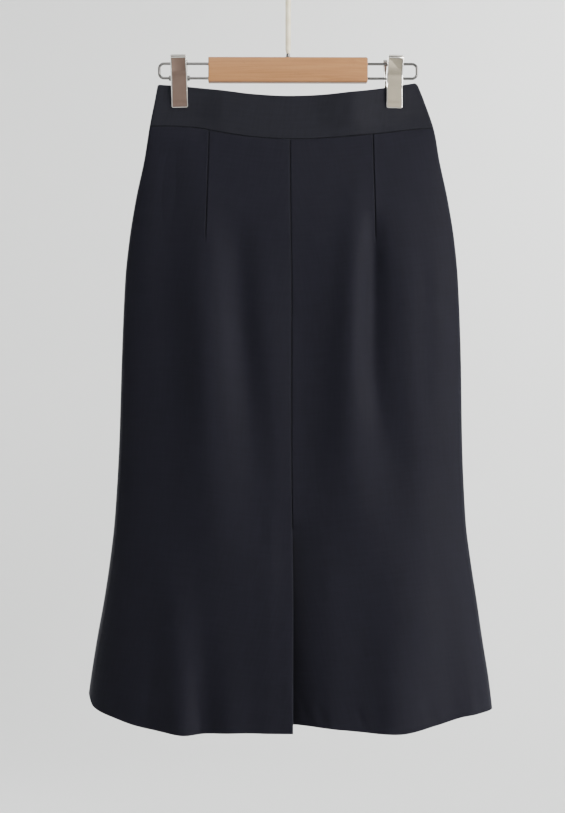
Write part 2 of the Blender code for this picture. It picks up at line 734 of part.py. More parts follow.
def make_hook(collection, sleeve_finish, nickel):
    radius = HOOK_INSIDE_RADIUS + SLEEVE_RADIUS
    centre = (0.0, -HOOK_INSIDE_RADIUS)
    loop = arc(centre, radius, HOOK_TIP_ANGLE, HOOK_EXIT_ANGLE, HOOK_LOOP_STEPS)
    turn = math.radians(-HOOK_EXIT_ANGLE)
    heading = Vector((-math.sin(turn), 0.0, -math.cos(turn)))
    straight_end = Vector(loop[-1]) + heading * (
        (loop[-1][0] - NECK_BEND_RADIUS * (1 - math.cos(turn))) / math.sin(turn)
    )
    bend_centre = (NECK_BEND_RADIUS, straight_end.z - NECK_BEND_RADIUS * math.sin(turn))
    bend = arc(bend_centre, NECK_BEND_RADIUS, 180 + HOOK_EXIT_ANGLE, 180, HOOK_BEND_STEPS)
    stem = [(0.0, 0.0, -SLEEVE_TAPER_DROP), (0.0, 0.0, -SLEEVE_END_DROP)]
    points = loop + bend + stem
    radii = HOOK_TIP_SHARES + [1.0] * (len(points) - 3) + [SLEEVE_END_SHARE]
    rod = wire_curve("hook_sleeve", points, SLEEVE_RADIUS, collection, radii, 4)
    mesh = mesh_of(rod, "hook_sleeve")
    add_object("hook_sleeve", mesh, collection, sleeve_finish, 40)
    top, bottom = SLEEVE_END_DROP + GAP, BAR_TOP_DROP + NECK_SEAT
    middle = (0, 0, -(top + bottom) / 2)
    neck = cylinder("hook_neck", NECK_RADIUS, bottom - top, middle, "Z", collection)
    finish(neck.data, nickel, 40)


def make_bar(collection, cutters, wood):
    work = bmesh.new()
    bmesh.ops.create_cube(work, size=1.0)
    bmesh.ops.scale(work, verts=work.verts, vec=Vector((BAR_LENGTH, BAR_DEPTH, BAR_HEIGHT)) * MM)
    bmesh.ops.translate(
        work, verts=work.verts, vec=Vector((0, 0, -(BAR_TOP_DROP + BAR_HEIGHT / 2))) * MM
    )
    mesh = bpy.data.meshes.new("hanger_bar")
    work.to_mesh(mesh)
    work.free()
    bar = add_object("hanger_bar", mesh, collection, wood)
    rounding = bar.modifiers.new("Rounding", "BEVEL")
    rounding.width = BAR_ROUND * MM
    rounding.segments = 2
    for side in (-1, 1):
        for name, drop in (("upper", WIRE_UPPER_DROP), ("lower", WIRE_LOWER_DROP)):
            middle = side * (BAR_LENGTH - WIRE_SEAT + BAR_HOLE_OVER) / 2
            drill(
                bar, f"wire_hole_{name}_{side}", WIRE_RADIUS + BAR_HOLE_CLEAR,
                WIRE_SEAT + BAR_HOLE_OVER, (middle, 0, -drop), "X", cutters,
            )
    middle = -(BAR_TOP_DROP + (NECK_SEAT + 1 - BAR_HOLE_OVER) / 2)
    drill(
        bar, "neck_hole", NECK_RADIUS + BAR_HOLE_CLEAR, NECK_SEAT + 1 + BAR_HOLE_OVER,
        (0, 0, middle), "Z", cutters,
    )


def drill(bar, name, radius, length, centre, axis, cutters):
    hole = cylinder(name, radius, length, centre, axis, cutters)
    mark_cutter(hole)
    boolean(bar, hole, "DIFFERENCE")


def make_wires(collection, nickel):
    start = BAR_LENGTH / 2 - WIRE_SEAT + WIRE_END_CLEAR
    for side, name in ((-1, "left"), (1, "right")):
        corner_x = WIRE_REACH - WIRE_CORNER
        upper_middle = (corner_x, -WIRE_UPPER_DROP - WIRE_CORNER)
        lower_middle = (corner_x, -WIRE_LOWER_DROP + WIRE_CORNER)
        upper = arc(upper_middle, WIRE_CORNER, 90, 0, WIRE_CORNER_STEPS)
        lower = arc(lower_middle, WIRE_CORNER, 0, -90, WIRE_CORNER_STEPS)
        points = [(start, 0, -WIRE_UPPER_DROP)] + upper + lower + [(start, 0, -WIRE_LOWER_DROP)]
        points = [(side * x, y, z) for x, y, z in points]
        rod = wire_curve("hanger_wire_" + name, points, WIRE_RADIUS, collection)
        mesh = mesh_of(rod, "hanger_wire_" + name)
        add_object("hanger_wire_" + name, mesh, collection, nickel, 50)


def jaw_outline(barrel_radius):
    """The side view of a jaw plate, as (stand-off from the hanger's plane, height) pairs."""
    half = JAW_PLATE / 2
    places = {"plane": 0.0, "knee": barrel_radius + GAP + half, "tip": PINCH + GAP + half}
    middle = [Vector((places[bend.off] + bend.out, bend.up)) for bend in JAW_LINE]
    outer, inner = [], []
    for index, point in enumerate(middle):
        before = middle[max(index - 1, 0)]
        after = middle[min(index + 1, len(middle) - 1)]
        run = (after - before).normalized()
        across = Vector((-run.y, run.x)) * half
        outer.append(tuple(point + across))
        inner.append(tuple(point - across))
    return outer + inner[::-1]


def make_clips(collection, nickel):
    # a plate's outline X is its stand-off, its Y is its height, and it is as wide as the jaw
    stand_up = Matrix(((0, 0, 1, 0), (1, 0, 0, 0), (0, 1, 0, 0), (0, 0, 0, 1)))
    for clip in CLIPS:
        lean = Matrix.Rotation(math.radians(clip.lean), 4, "Y")
        turn = Matrix.Rotation(math.radians(clip.turn), 4, "Z")
        pivot = Matrix.Translation(Vector((clip.x, 0, -WIRE_LOWER_DROP)) * MM)
        for face, name in ((-1, "front_jaw"), (1, "back_jaw")):
            outline = jaw_outline(clip.barrel_radius)
            plate = flat_curve(name, [outline], JAW_WIDTH / 2, collection)
            mesh = mesh_of(plate, f"{clip.name}_{name}")
            mesh.transform(stand_up)
            if face < 0:
                mesh.transform(Matrix.Rotation(math.pi, 4, "Z"))
            jaw = add_object(f"{clip.name}_{name}", mesh, collection, nickel)
            jaw.matrix_world = pivot @ turn @ lean
        barrel = add_barrel(clip, collection, nickel)
        barrel.matrix_world = pivot @ turn @ Matrix.Rotation(math.pi / 2, 4, "Y")


def add_barrel(clip, collection, nickel):
    """The tube that the jaws turn on, round the lower wire, turned about its own Z."""
    half = clip.barrel_length / 2
    inner, outer = clip.barrel_bore, clip.barrel_radius
    profile = [(outer, half), (outer, -half), (inner, -half), (inner, half)]
    mesh = bpy.data.meshes.new(clip.name + "_barrel")
    corners = [(across * MM, 0, up * MM) for across, up in profile]
    mesh.from_pydata(corners, [(0, 1), (1, 2), (2, 3), (3, 0)], [])
    barrel = add_object(clip.name + "_barrel", mesh, collection, nickel)
    turned = barrel.modifiers.new("Turned", "SCREW")
    turned.steps = ROUND_SIDES
    turned.render_steps = ROUND_SIDES
    turned.use_merge_vertices = True
    turned.merge_threshold = 0.00001
    return barrel


def main():
    clear_scene()
    collection = new_collection("mermaid_skirt_on_hanger")
    cutters = new_collection("cutters")
    cloth = finish_material("cloth", (0.014, 0.014, 0.018), 0.78)
    tape = finish_material("zip_tape", (0.012, 0.012, 0.015), 0.8)
    metal = finish_material("zip_metal", (0.05, 0.05, 0.055), 0.4, 0.6)
    wood = finish_material("beech", (0.48, 0.28, 0.155), 0.5)
    nickel = finish_material("nickel", (0.62, 0.60, 0.55), 0.3, 1.0)
    sleeve = finish_material("hook_sleeve", (0.72, 0.66, 0.54), 0.5)
    make_skirt(collection, cloth)
    make_zip(collection, tape, metal)
    make_hook(collection, sleeve, nickel)
    make_bar(collection, cutters, wood)
    make_wires(collection, nickel)
    make_clips(collection, nickel)


main()
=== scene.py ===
# %% [markdown]
# # A mermaid fishtail skirt on a wooden clip hanger
#
# The skirt is a plain black one in smooth suiting: a shaped waistband, two front and two back
# panels with a dart in each, a lapped vent up the centre front and a hidden zip down the centre
# back. It hangs flat from the two clips of a wooden hanger. The frame that is loaded here
# already has every piece at its real size and place, so this script only gives it its looks:
# finer cloth with its creases and seams, finer metal and wood, materials, light and a camera.

import math
from collections import namedtuple
from contextlib import contextmanager

import bmesh
import bpy
import numpy as np
from mathutils import Matrix, Vector


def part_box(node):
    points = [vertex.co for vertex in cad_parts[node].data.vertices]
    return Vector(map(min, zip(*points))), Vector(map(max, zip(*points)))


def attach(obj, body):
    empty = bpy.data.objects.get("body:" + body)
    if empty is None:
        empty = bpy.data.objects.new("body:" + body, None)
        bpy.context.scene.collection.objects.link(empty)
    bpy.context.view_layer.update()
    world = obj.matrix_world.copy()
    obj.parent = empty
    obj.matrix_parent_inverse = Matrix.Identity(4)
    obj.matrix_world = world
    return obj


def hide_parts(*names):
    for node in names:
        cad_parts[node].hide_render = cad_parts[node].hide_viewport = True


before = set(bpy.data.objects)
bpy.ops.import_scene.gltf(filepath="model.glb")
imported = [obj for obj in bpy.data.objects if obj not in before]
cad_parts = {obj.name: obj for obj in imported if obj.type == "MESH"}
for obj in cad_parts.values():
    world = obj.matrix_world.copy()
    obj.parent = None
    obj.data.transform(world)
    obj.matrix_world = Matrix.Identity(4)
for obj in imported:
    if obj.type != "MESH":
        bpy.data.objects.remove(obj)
bpy.context.view_layer.update()

MM = 0.001
BODY, PULL_BODY = "skirt_and_hanger", "pull_tab"

# %% [markdown]
# ## Where heights are measured from
#
# A skirt on a hanger is easiest to describe from the top down, as a tailor does with a tape.
# So every height below is a drop: how many millimetres a point lies under the inside top of
# the hook, which is the frame's origin. Millimetres turn into metres only where a mesh is made.

# %% Tables, and smooth curves through them
Knot = namedtuple("Knot", "drop x reach height")


def rows_of(columns, text):
    """A table with named columns, a row to a line."""
    Row = namedtuple("Row", columns)
    return [Row(*map(float, line.split())) for line in text.strip().splitlines()]


def folds_of(text):
    """A fold to a line: its name, then the drop, x, reach and height of each of its knots. A
    line that starts with a bar goes on with the fold above it."""
    folds = {}
    for line in text.strip().replace("\n        |", " |").splitlines():
        name, *knots = line.split("|")
        folds[name.strip()] = [Knot(*map(float, knot.split())) for knot in knots]
    return folds


def read_off(rows, key, field, at):
    """A smooth curve through one column of a table, for a whole array of places at once."""
    places = np.array([getattr(row, key) for row in rows], float)
    values = np.array([getattr(row, field) for row in rows], float)
    steps = np.diff(values) / np.diff(places)
    slopes = np.concatenate([steps[:1], np.zeros(len(steps) - 1), steps[-1:]])
    same_way = steps[:-1] * steps[1:] > 0
    both = steps[:-1] + steps[1:]
    between = 2 * steps[:-1] * steps[1:] / np.where(same_way, both, 1.0)
    slopes[1:-1] = np.where(same_way, between, 0.0)
    at = np.clip(at, places[0], places[-1])
    first = np.clip(np.searchsorted(places, at, side="right") - 1, 0, len(places) - 2)
    span = places[first + 1] - places[first]
    t = (at - places[first]) / span
    start_weight = 2 * t**3 - 3 * t**2 + 1
    start_slope = (t**3 - 2 * t**2 + t) * span * slopes[first]
    end_slope = (t**3 - t**2) * span * slopes[first + 1]
    start, end = values[first], values[first + 1]
    return start_weight * start + start_slope + (1 - start_weight) * end + end_slope


def ease(value, start, end):
    """0 at start, 1 at end, smooth between."""
    t = np.clip((value - start) / (end - start), 0.0, 1.0)
    return t * t * (3 - 2 * t)


def bell(off, reach):
    """1 in the middle, dying away smoothly past its reach."""
    return np.exp(-((off / reach) ** 2))


print("halfway, eased:", float(ease(5.0, 0.0, 10.0)), " in a bell:", round(float(bell(5, 10)), 3))

# %% [markdown]
# ## The form of the cloth
#
# A garment is a set of flat pieces sewn into a tube, and its weight pulls that tube into long
# soft folds. It could be simulated, but a simulation never lands on the same folds twice and
# stretches the cut. So the form is worked out instead, from the same tables as the solid
# pieces: horizontal sections give the width and fullness at each height, edge lines give the
# waist seam and the hem, and each fold is a soft ridge or trough along its own line.

# %% Sections and edge lines
GAP = 0.3
PANEL_WALL = 1.5
BAND_WALL = 2.2
SIDE_ROUND = 2.7
SIDE_FLAT = 0.8
PINCH = BAND_WALL + GAP / 2

SECTIONS = rows_of("drop left right seam front back", """
       167 -161.8  161.0    0.0    6.5    7.0
       190 -166.1  170.6    0.8    7.5    8.0
       225 -173.0  182.4    2.5   11.0   11.0
       265 -179.3  189.3    2.8   17.0   15.0
       315 -189.8  200.0    3.3   24.0   21.0
       365 -197.8  208.1    4.0   29.0   26.0
       415 -202.9  212.9    5.0   32.0   29.0
       515 -207.0  216.8    5.0   36.0   32.0
       615 -209.8  218.5    5.2   40.0   34.0
       715 -215.4  223.1    6.3   47.0   39.0
       765 -221.0  229.3    7.0   52.0   43.0
       815 -228.4  237.1    7.5   58.0   48.0
       865 -237.3  244.5    7.5   64.0   53.0
       915 -245.0  252.5    7.5   70.0   58.0
       970 -252.0  259.0    7.5   75.0   62.0
""")
FRONT_EDGES = rows_of("across top waist hem", """
     -1.00  171.3  224.1  930.0
     -0.96  171.8  224.0  944.0
     -0.85  172.8  223.9  953.0
     -0.70  175.2  225.2  962.0
     -0.50  179.0  231.8  967.0
     -0.25  184.0  238.4  963.5
      0.00  186.1  240.9  963.0
      0.25  184.7  239.3  962.5
      0.50  181.0  235.3  964.0
      0.70  176.2  231.0  957.0
      0.85  171.8  227.3  950.5
      1.00  167.5  225.0  948.0
""")
BACK_EDGES = rows_of("across top waist hem", """
     -1.00  171.3  224.1  930.0
     -0.96  172.0  224.0  941.0
     -0.70  177.0  226.0  952.0
     -0.40  183.5  234.0  958.0
      0.00  188.0  240.9  960.0
      0.40  184.5  236.0  959.0
      0.70  178.0  230.0  955.0
      1.00  167.5  225.0  948.0
""")
VENT_HEM_RISE = 6.0
VENT_HEM_SHARE = 0.24
print("sections:", len(SECTIONS), "from drop", SECTIONS[0].drop, "to", SECTIONS[-1].drop)

# %% The large folds
FRONT_FOLDS = folds_of("""
    left_dart_ridge | 270 -100 20 0 | 365 -103 22 4.5 | 415 -105 24 7.0 | 515 -101 25 8.5
        | 615 -98 27 6.5 | 715 -91 30 4.0 | 815 -74 34 0
    left_inner_trough | 330 -60 16 0 | 415 -58 18 -5.0 | 515 -51 19 -6.5 | 615 -41 22 -4.5
        | 715 -33 26 -1.5 | 780 -30 26 0
    right_dart_ridge | 280 84 16 0 | 365 82 18 4.5 | 415 80 19 6.8 | 515 77 22 8.2 | 615 77 28 6.4
        | 690 86 32 4.0 | 790 100 36 0
    lower_right_ridge | 640 152 44 0 | 752 152 52 7.0 | 815 148 50 9.0 | 865 144 48 10.5
        | 915 139 46 11.5 | 970 136 45 12.0
    right_dart_trough | 325 106 9 0 | 365 106 11 -5.6 | 415 105 13 -7.2 | 465 105 14 -7.0
        | 515 104 14 -6.2 | 640 118 18 0
    right_outer_ridge | 300 140 18 0 | 415 146 22 3.5 | 515 150 24 4.5 | 627 158 24 4.0
        | 740 168 26 0
    right_hip | 330 198 34 0 | 415 200 38 5.0 | 540 202 38 4.6 | 690 206 40 0
    centre_trough | 330 12 34 0 | 465 14 36 -4.6 | 615 14 36 -6.0 | 740 10 34 -4.0 | 860 6 32 0
    lower_left_ridge | 740 -142 20 0 | 865 -134 19 4.0 | 970 -126 18 8.0
    lower_left_trough | 800 -104 15 0 | 915 -100 15 -3.5 | 970 -98 15 -5.0
    lower_right_trough | 800 92 20 0 | 865 90 20 -1.2 | 970 86 22 -1.5
""")
BACK_FOLDS = folds_of("""
    left_ridge | 330 -92 24 0 | 465 -94 27 6.0 | 665 -104 32 5.0 | 865 -120 34 7.0
        | 970 -126 34 9.0
    left_trough | 380 -48 20 0 | 565 -50 24 -4.5 | 865 -66 28 -5.0 | 970 -70 28 -7.0
    centre_ridge | 640 -8 26 0 | 865 -14 30 5.0 | 970 -16 32 7.0
    right_trough | 380 58 20 0 | 565 60 24 -4.5 | 865 64 28 -5.0 | 970 66 28 -6.0
    right_ridge | 330 98 24 0 | 465 100 27 5.5 | 665 110 32 5.0 | 865 132 36 7.0 | 970 138 36 9.0
""")
FOLD_SIDE_START, FOLD_SIDE_WHOLE = 4.0, 42.0
print("large folds:", len(FRONT_FOLDS), "in front,", len(BACK_FOLDS), "behind")

# %% [markdown]
# ## Small creases
#
# Between the large folds, real suiting is never quite flat: it keeps faint creases where it
# was folded away, drags a little under each dart, wavers beside a pressed edge and puckers
# above the hem. They are only a few tenths of a millimetre to two millimetres high, too fine
# for the solid pieces, so they are added here. Each has its own length, depth and place,
# because evenly spaced ones would look like corrugated card.

# %% Small creases along the front and the back, and the level marks of folding
FRONT_CREASES = folds_of("""
    under_left_dart | 368 -101 7 0 | 392 -102 8 -0.9 | 440 -104 10 -0.5 | 500 -106 12 0
    beside_left_dart | 400 -84 8 0 | 460 -82 9 0.7 | 560 -76 11 0.8 | 660 -66 13 0
    under_right_dart | 366 108 6 0 | 388 107 7 -0.8 | 430 104 8 -0.4 | 480 102 9 0
    left_hip_hollow | 236 -142 12 0 | 264 -145 13 -1.9 | 300 -147 14 -2.2 | 350 -148 16 -1.1
        | 410 -148 17 0
    left_hip_drag | 300 -156 12 0 | 370 -152 14 -0.7 | 470 -150 17 -0.9 | 600 -154 20 0
    right_hip_drag | 360 176 9 0 | 430 172 11 -0.9 | 540 174 14 -0.8 | 660 180 16 0
    left_thigh | 560 -128 10 0 | 640 -124 12 0.7 | 760 -118 14 0
    left_of_vent | 640 -16 9 0 | 760 -20 10 0.8 | 900 -24 11 0.5 | 968 -26 11 0.9
    left_hem_wave | 850 -62 13 0 | 910 -64 13 0.9 | 968 -66 14 1.8
    left_hem_dip | 880 -166 10 0 | 930 -168 11 -1.2 | 962 -170 11 -1.8
    right_vent_drag | 700 46 11 0 | 800 52 12 0.4 | 905 54 13 0.5 | 966 52 13 1.2
    right_knee | 660 176 11 0 | 760 186 12 -1.0 | 880 196 13 -1.2 | 955 204 13 -2.0
    right_hem_wave | 870 108 10 0 | 920 108 11 -0.9 | 966 107 11 -1.6
    right_outer_hem | 800 214 8 0 | 880 222 9 1.0 | 950 230 9 1.6
    hem_pucker_left | 872 -113 4 0 | 915 -110 5 -0.9 | 960 -106 6 -1.3
    hem_pucker_by_vent | 918 18 5 0 | 940 23 6 -1.3 | 960 30 7 -0.5
    hem_pucker_past_vent | 926 36 5 0 | 944 42 6 -1.4 | 962 51 7 -0.6
    hem_pucker_middle | 930 84 5 0 | 948 89 5 -1.2 | 963 96 6 -0.6
    hem_pucker_right | 914 166 6 0 | 936 171 7 -0.9 | 956 178 8 -0.4
    hem_pucker_side | 915 232 4 0 | 934 236 5 -1.0 | 948 240 6 -0.4
""")
BACK_CREASES = folds_of("""
    under_left_dart | 346 -80 6 0 | 368 -80 8 -0.8 | 420 -82 10 -0.4 | 480 -84 11 0
    under_right_dart | 346 86 6 0 | 370 86 8 -0.8 | 424 88 10 -0.4 | 490 90 11 0
    zip_end | 388 3 7 0 | 404 3 8 0.7 | 440 3 10 -0.5 | 520 4 12 0
    left_hip_drag | 320 -150 12 0 | 420 -148 14 -0.9 | 560 -152 18 0
    right_hip_drag | 300 158 12 0 | 390 154 15 -0.8 | 600 160 19 0
    left_thigh | 600 -20 10 0 | 700 -24 12 -0.9 | 820 -40 13 0
    right_thigh | 560 30 10 0 | 680 28 12 0.9 | 900 20 14 0.6 | 960 18 14 1.4
    left_hem_wave | 850 -176 10 0 | 905 -182 11 1.0 | 956 -186 12 2.0
    right_hem_wave | 820 190 11 0 | 900 198 12 -1.2 | 956 204 12 -2.2
    middle_hem_dip | 860 -44 10 0 | 920 -46 11 -1.0 | 960 -48 12 -1.8
""")
CREASE_SIDE_START, CREASE_SIDE_WHOLE = 3.0, 16.0
FOLD_MARKS = rows_of("face drop x half_length half_height depth slant", """
        -1    300     34     30    2.0   0.16   0.05
        -1    352     28     24    2.2   0.18  -0.04
        -1    463    -26     40    2.8   0.20   0.06
        -1    558     44     46    3.0   0.24  -0.05
        -1    574   -120     44    3.0   0.20   0.03
        -1    690    -60     50    3.2   0.22  -0.03
        -1    742    128     46    3.2   0.26   0.05
         1    380     40     40    2.6   0.20   0.04
         1    560    -70     60    3.0   0.24  -0.04
         1    572     84     50    3.0   0.22   0.05
         1    760    -30     60    3.4   0.26   0.03
""")
print("small creases:", len(FRONT_CREASES) + len(BACK_CREASES), " fold marks:", len(FOLD_MARKS))

# %% Darts, vent and clips, as far as the cloth feels them
Dart = namedtuple("Dart", "x_at_waist x_at_point point_drop depth")
FRONT_DARTS = {-1: Dart(-98.0, -101.3, 372, 1.3), 1: Dart(105.6, 108.8, 372, 1.3)}
BACK_DARTS = {-1: Dart(-84.0, -80.0, 350, 1.0), 1: Dart(90.0, 86.0, 350, 1.0)}
DART_TOP_DROP = 230.0
DART_FADE = 15.0
DART_LINE_HALF = 0.65
# How wide the painted shade along a dart's stitched line is.
DART_SHADE = 0.62
DART_PRESS_HALF = 3.2
DART_PRESS = 0.28

VENT_TOP_DROP = 722.0
VENT_HEM_DROP = 965.0
VENT_RECESS_START = 2.8
VENT_RECESS_HEM = 19.0
VENT_RECESS_REACH = 35.0
VENT_STEEPNESS = 1.3
# How far and how strongly painted shadow darkens the right front beside the left front's lap.
VENT_SHADE_REACH = 13.0
VENT_SHADE = 0.66
VENT_DIP = 24.0
VENT_SEAM_FADE = 4.0
VENT_EDGE_LIFT = 3.0

Clip = namedtuple("Clip", "name x lean turn barrel_length barrel_bore barrel_radius")
CLIPS = [
    Clip("clip_left", -135.8, -1.5, 0.0, 26.0, 1.95, 3.2),
    Clip("clip_right", 131.7, -0.7, 10.5, 18.0, 3.85, 4.6),
]
GRIP_HALF = 16.0
GRIP_FADE = 58.0
TURN_FADE = 105.0
GRIP_DROP = 206.0
GRIP_FADE_DROP = 245.0
print("darts:", len(FRONT_DARTS) + len(BACK_DARTS), " clips:", len(CLIPS))


# %% The cloth's surface as functions
def section(field, drop):
    return read_off(SECTIONS, "drop", field, drop)


def width_of(half, drop):
    return np.abs(section("left" if half < 0 else "right", drop) - section("seam", drop))


def spread(half, swing, drop):
    """x, and how far that is from the side seam and from the centre. half is -1 left, 1 right;
    swing runs from 0 at the side seam to a quarter turn at the centre."""
    wide = width_of(half, drop)
    from_centre = wide * np.cos(swing)
    return section("seam", drop) + half * from_centre, wide * (1 - np.cos(swing)), from_centre


def folds_at(folds, x, drop):
    total = np.zeros(np.broadcast(x, drop).shape)
    for knots in folds.values():
        centre, reach, height = (read_off(knots, "drop", field, drop) for field in Knot._fields[1:])
        total += np.where(drop > knots[0].drop, height * bell(x - centre, reach), 0.0)
    return total


def grip_at(x, drop):
    """How firmly a clip holds the band here, and the sideways turn that it gives the cloth."""
    grip, turn = 0.0, 0.0
    hold = 1 - ease(drop, GRIP_DROP, GRIP_FADE_DROP)
    for clip in CLIPS:
        off = x - clip.x
        near = 1 - ease(np.abs(off), GRIP_HALF, TURN_FADE)
        grip = grip + hold * (1 - ease(np.abs(off), GRIP_HALF, GRIP_FADE))
        turn = turn + hold * math.tan(math.radians(clip.turn)) * off * near
    return grip, turn


def vent_recess(x, drop):
    """How far the right front lies behind the left one beside the vent."""
    down = ease(drop, VENT_TOP_DROP, VENT_HEM_DROP)
    recess = VENT_RECESS_START + (VENT_RECESS_HEM - VENT_RECESS_START) * down
    recess = recess * ease(drop, VENT_TOP_DROP - VENT_DIP, VENT_TOP_DROP)
    away = np.maximum(x - section("seam", drop), 0.0)
    return recess * np.exp(-((away / VENT_RECESS_REACH) ** VENT_STEEPNESS))


def vent_lift(x, drop):
    """How far the left front's free edge stands forward."""
    lift = VENT_EDGE_LIFT * ease(drop, VENT_TOP_DROP, VENT_HEM_DROP)
    return lift * bell(section("seam", drop) - x, VENT_RECESS_REACH)


def cloth_points(face, half, swing, drop, relief=0.0):
    """Points of the cloth's outer side (mm). face is -1 front, 1 back; relief stands out of the
    large form."""
    x, from_side, _ = spread(half, swing, drop)
    around = np.minimum(from_side / SIDE_ROUND, 1.0)
    rounding = SIDE_FLAT + (SIDE_ROUND - SIDE_FLAT) * np.sqrt(1 - (1 - around) ** 2)
    bulge = section("front" if face < 0 else "back", drop)
    depth = rounding + (bulge - SIDE_ROUND) * np.sin(swing)
    folds = folds_at(FRONT_FOLDS if face < 0 else BACK_FOLDS, x, drop)
    depth = depth + folds * ease(from_side, FOLD_SIDE_START, FOLD_SIDE_WHOLE)
    grip, turn = grip_at(x, drop)
    depth = depth + (PINCH - GAP / 2 - depth) * grip
    if face < 0:
        depth = depth + (vent_lift(x, drop) if half < 0 else -vent_recess(x, drop))
    return np.stack([x, face * (depth + relief + GAP / 2) + turn, -drop], axis=-1)


def edge_drop(face, line, across):
    """The drop of the band's top, the waist seam or the hem; across runs from -1 to 1."""
    drop = read_off(FRONT_EDGES if face < 0 else BACK_EDGES, "across", line, across)
    if line == "hem" and face < 0:
        drop = drop - np.where(across > 0, VENT_HEM_RISE * bell(across, VENT_HEM_SHARE), 0.0)
    return drop


def swing_at(half, x, drop):
    share = (x - section("seam", drop)) * half / width_of(half, drop)
    return np.arccos(np.clip(share, -1.0, 1.0))


middle_front = cloth_points(-1, 1, np.array(math.pi / 2), np.array(515.0))
print("the front's middle at drop 515, in mm:", np.round(middle_front, 1))
print("the hem's drop at the vent:", float(edge_drop(-1, "hem", np.array(0.0))))

# %% [markdown]
# ## Relief: seams, darts and pressed edges
#
# Where two pieces are sewn together and pressed, each cloth edge rolls over into the seam, so
# a seam is a fine dark valley between two soft shoulders, dark partly from its own shadow and
# partly from painted shade. A few stitches always pull tighter than the rest, and the cloth
# beside them puckers. Lines drawn in a texture would have no shadow, so the rolled edges, the
# darts' stitched lines and the puckers are all in the mesh.
# Columns and rows therefore crowd together beside a seam and stand wide in between.

# %% Sizes of the seams
ROLL = 1.6
ROLL_DEPTH = 1.15
HEM_ROLL_DEPTH = 0.62
EDGE_STEPS = (0.0, 0.2, 0.5, 0.95, 1.6)
# How wide the painted shade along a seam is.
SEAM_SHADE = 0.62
SIDE_FADE = (2.0, 12.0)
PUCKER_REACH = 9.0
PUCKER_HEIGHT = 0.11
PUCKER_WAVES = (2.9, 4.7, 37.0)
HEM_TURN_UP = 38.0
HEM_STEP, HEM_STEP_HALF = 0.16, 1.5
HEM_DIMPLE, HEM_DIMPLE_HALF = 0.10, 2.6
HEM_STITCH, STITCH_DRIFT, DRIFT_RUN = 8.5, 1.2, 61.0
SIDE_SEAM_SET = 0.45
SIDE_EDGE_INSET = 4.8
SIDE_EDGE_HALF = 1.3
SIDE_EDGE_HEIGHT = 0.34
SIDE_EDGE_FADE = (470.0, 620.0)
print("a pressed edge rolls over within", ROLL, "mm and goes in", ROLL_DEPTH, "mm")


# %% Relief functions
def rolled(distance, depth):
    """How far a pressed edge has rolled in, this far from it."""
    away = np.clip(distance / ROLL, 0.0, 1.0)
    return -depth * (1 - np.sqrt(1 - (1 - away) ** 2))


def pucker(distance, along, phase):
    """Uneven small waves along a seam, which die away beside it."""
    short, long, run = (along / wave for wave in PUCKER_WAVES)
    wave = np.sin(short + phase) + 0.7 * np.sin(long + 2.1 * phase)
    wave = wave * (0.6 + 0.4 * np.sin(run + phase * 1.7))
    return PUCKER_HEIGHT * wave * bell(distance, PUCKER_REACH)


def dart_line(dart, drop):
    fall = np.clip((drop - DART_TOP_DROP) / (dart.point_drop - DART_TOP_DROP), 0.0, 1.0)
    return dart.x_at_waist + (dart.x_at_point - dart.x_at_waist) * fall


def dart_fade(dart, drop):
    return 1 - ease(drop, dart.point_drop - DART_FADE, dart.point_drop)


def dart_relief(dart, x, drop):
    """The stitched line, and the soft pressed shoulders beside it."""
    fade = dart_fade(dart, drop)
    off = x - dart_line(dart, drop)
    press = DART_PRESS * bell(off, DART_PRESS_HALF) - dart.depth * bell(off, DART_LINE_HALF)
    return press * fade + pucker(off, drop, dart.x_at_waist) * fade


def small_creases(face, x, drop, from_side):
    creases = folds_at(FRONT_CREASES if face < 0 else BACK_CREASES, x, drop)
    total = creases * ease(from_side, CREASE_SIDE_START, CREASE_SIDE_WHOLE)
    for mark in FOLD_MARKS:
        if mark.face == face:
            off = (drop - mark.drop - mark.slant * (x - mark.x)) / mark.half_height
            along = (x - mark.x) / mark.half_length
            total = total - mark.depth * np.exp(-(off**2) - along**4)
    return total


def side_edge_relief(from_side, drop):
    """The seam allowance, pressed open inside, shows as a faint ridge beside the side seam."""
    ridge = bell(from_side - SIDE_EDGE_INSET, SIDE_EDGE_HALF)
    return SIDE_EDGE_HEIGHT * ridge * ease(drop, *SIDE_EDGE_FADE)


def hem_relief(above_hem, x):
    """The turned-up hem is a touch thicker, with a faint row of dimples at its hand stitches."""
    inside = 1 - ease(above_hem, HEM_TURN_UP - HEM_STEP_HALF, HEM_TURN_UP + HEM_STEP_HALF)
    spacing = HEM_STITCH + STITCH_DRIFT * np.sin(x / DRIFT_RUN)
    at_row = bell(above_hem - HEM_TURN_UP, HEM_DIMPLE_HALF)
    return HEM_STEP * inside - HEM_DIMPLE * at_row * (1 + np.cos(2 * np.pi * x / spacing))


print("a dart's stitched line goes in", FRONT_DARTS[1].depth, "mm")

# %% [markdown]
# ## From a grid of points to a piece of cloth
#
# One function turns a grid of outer points into a closed shell. The inner side is the same
# grid moved in by the cloth's thickness along the large form's own normals, without the seam
# relief, so it stays clean, and strips round the rim close it. The grid's real lengths go
# into a UV map, so that the weave follows the cloth round its folds instead of cutting
# straight through them.

# %% Shells from grids
def linked(name, data):
    """A new object in the scene."""
    piece = bpy.data.objects.new(name, data)
    bpy.context.scene.collection.objects.link(piece)
    return piece


def report(piece):
    """Prints a piece's triangles and its open edges, of which a closed piece has none."""
    piece.data.calc_loop_triangles()
    mesh = bmesh.new()
    mesh.from_mesh(piece.data)
    open_edges = sum(len(edge.link_faces) != 2 for edge in mesh.edges)
    mesh.free()
    print(f"{piece.name}: {len(piece.data.loop_triangles)} triangles, {open_edges} open edges")


def normals_of(grid):
    normals = np.cross(np.gradient(grid, axis=1), np.gradient(grid, axis=0))
    length = np.linalg.norm(normals, axis=-1, keepdims=True)
    return normals / np.maximum(length, 1e-9)


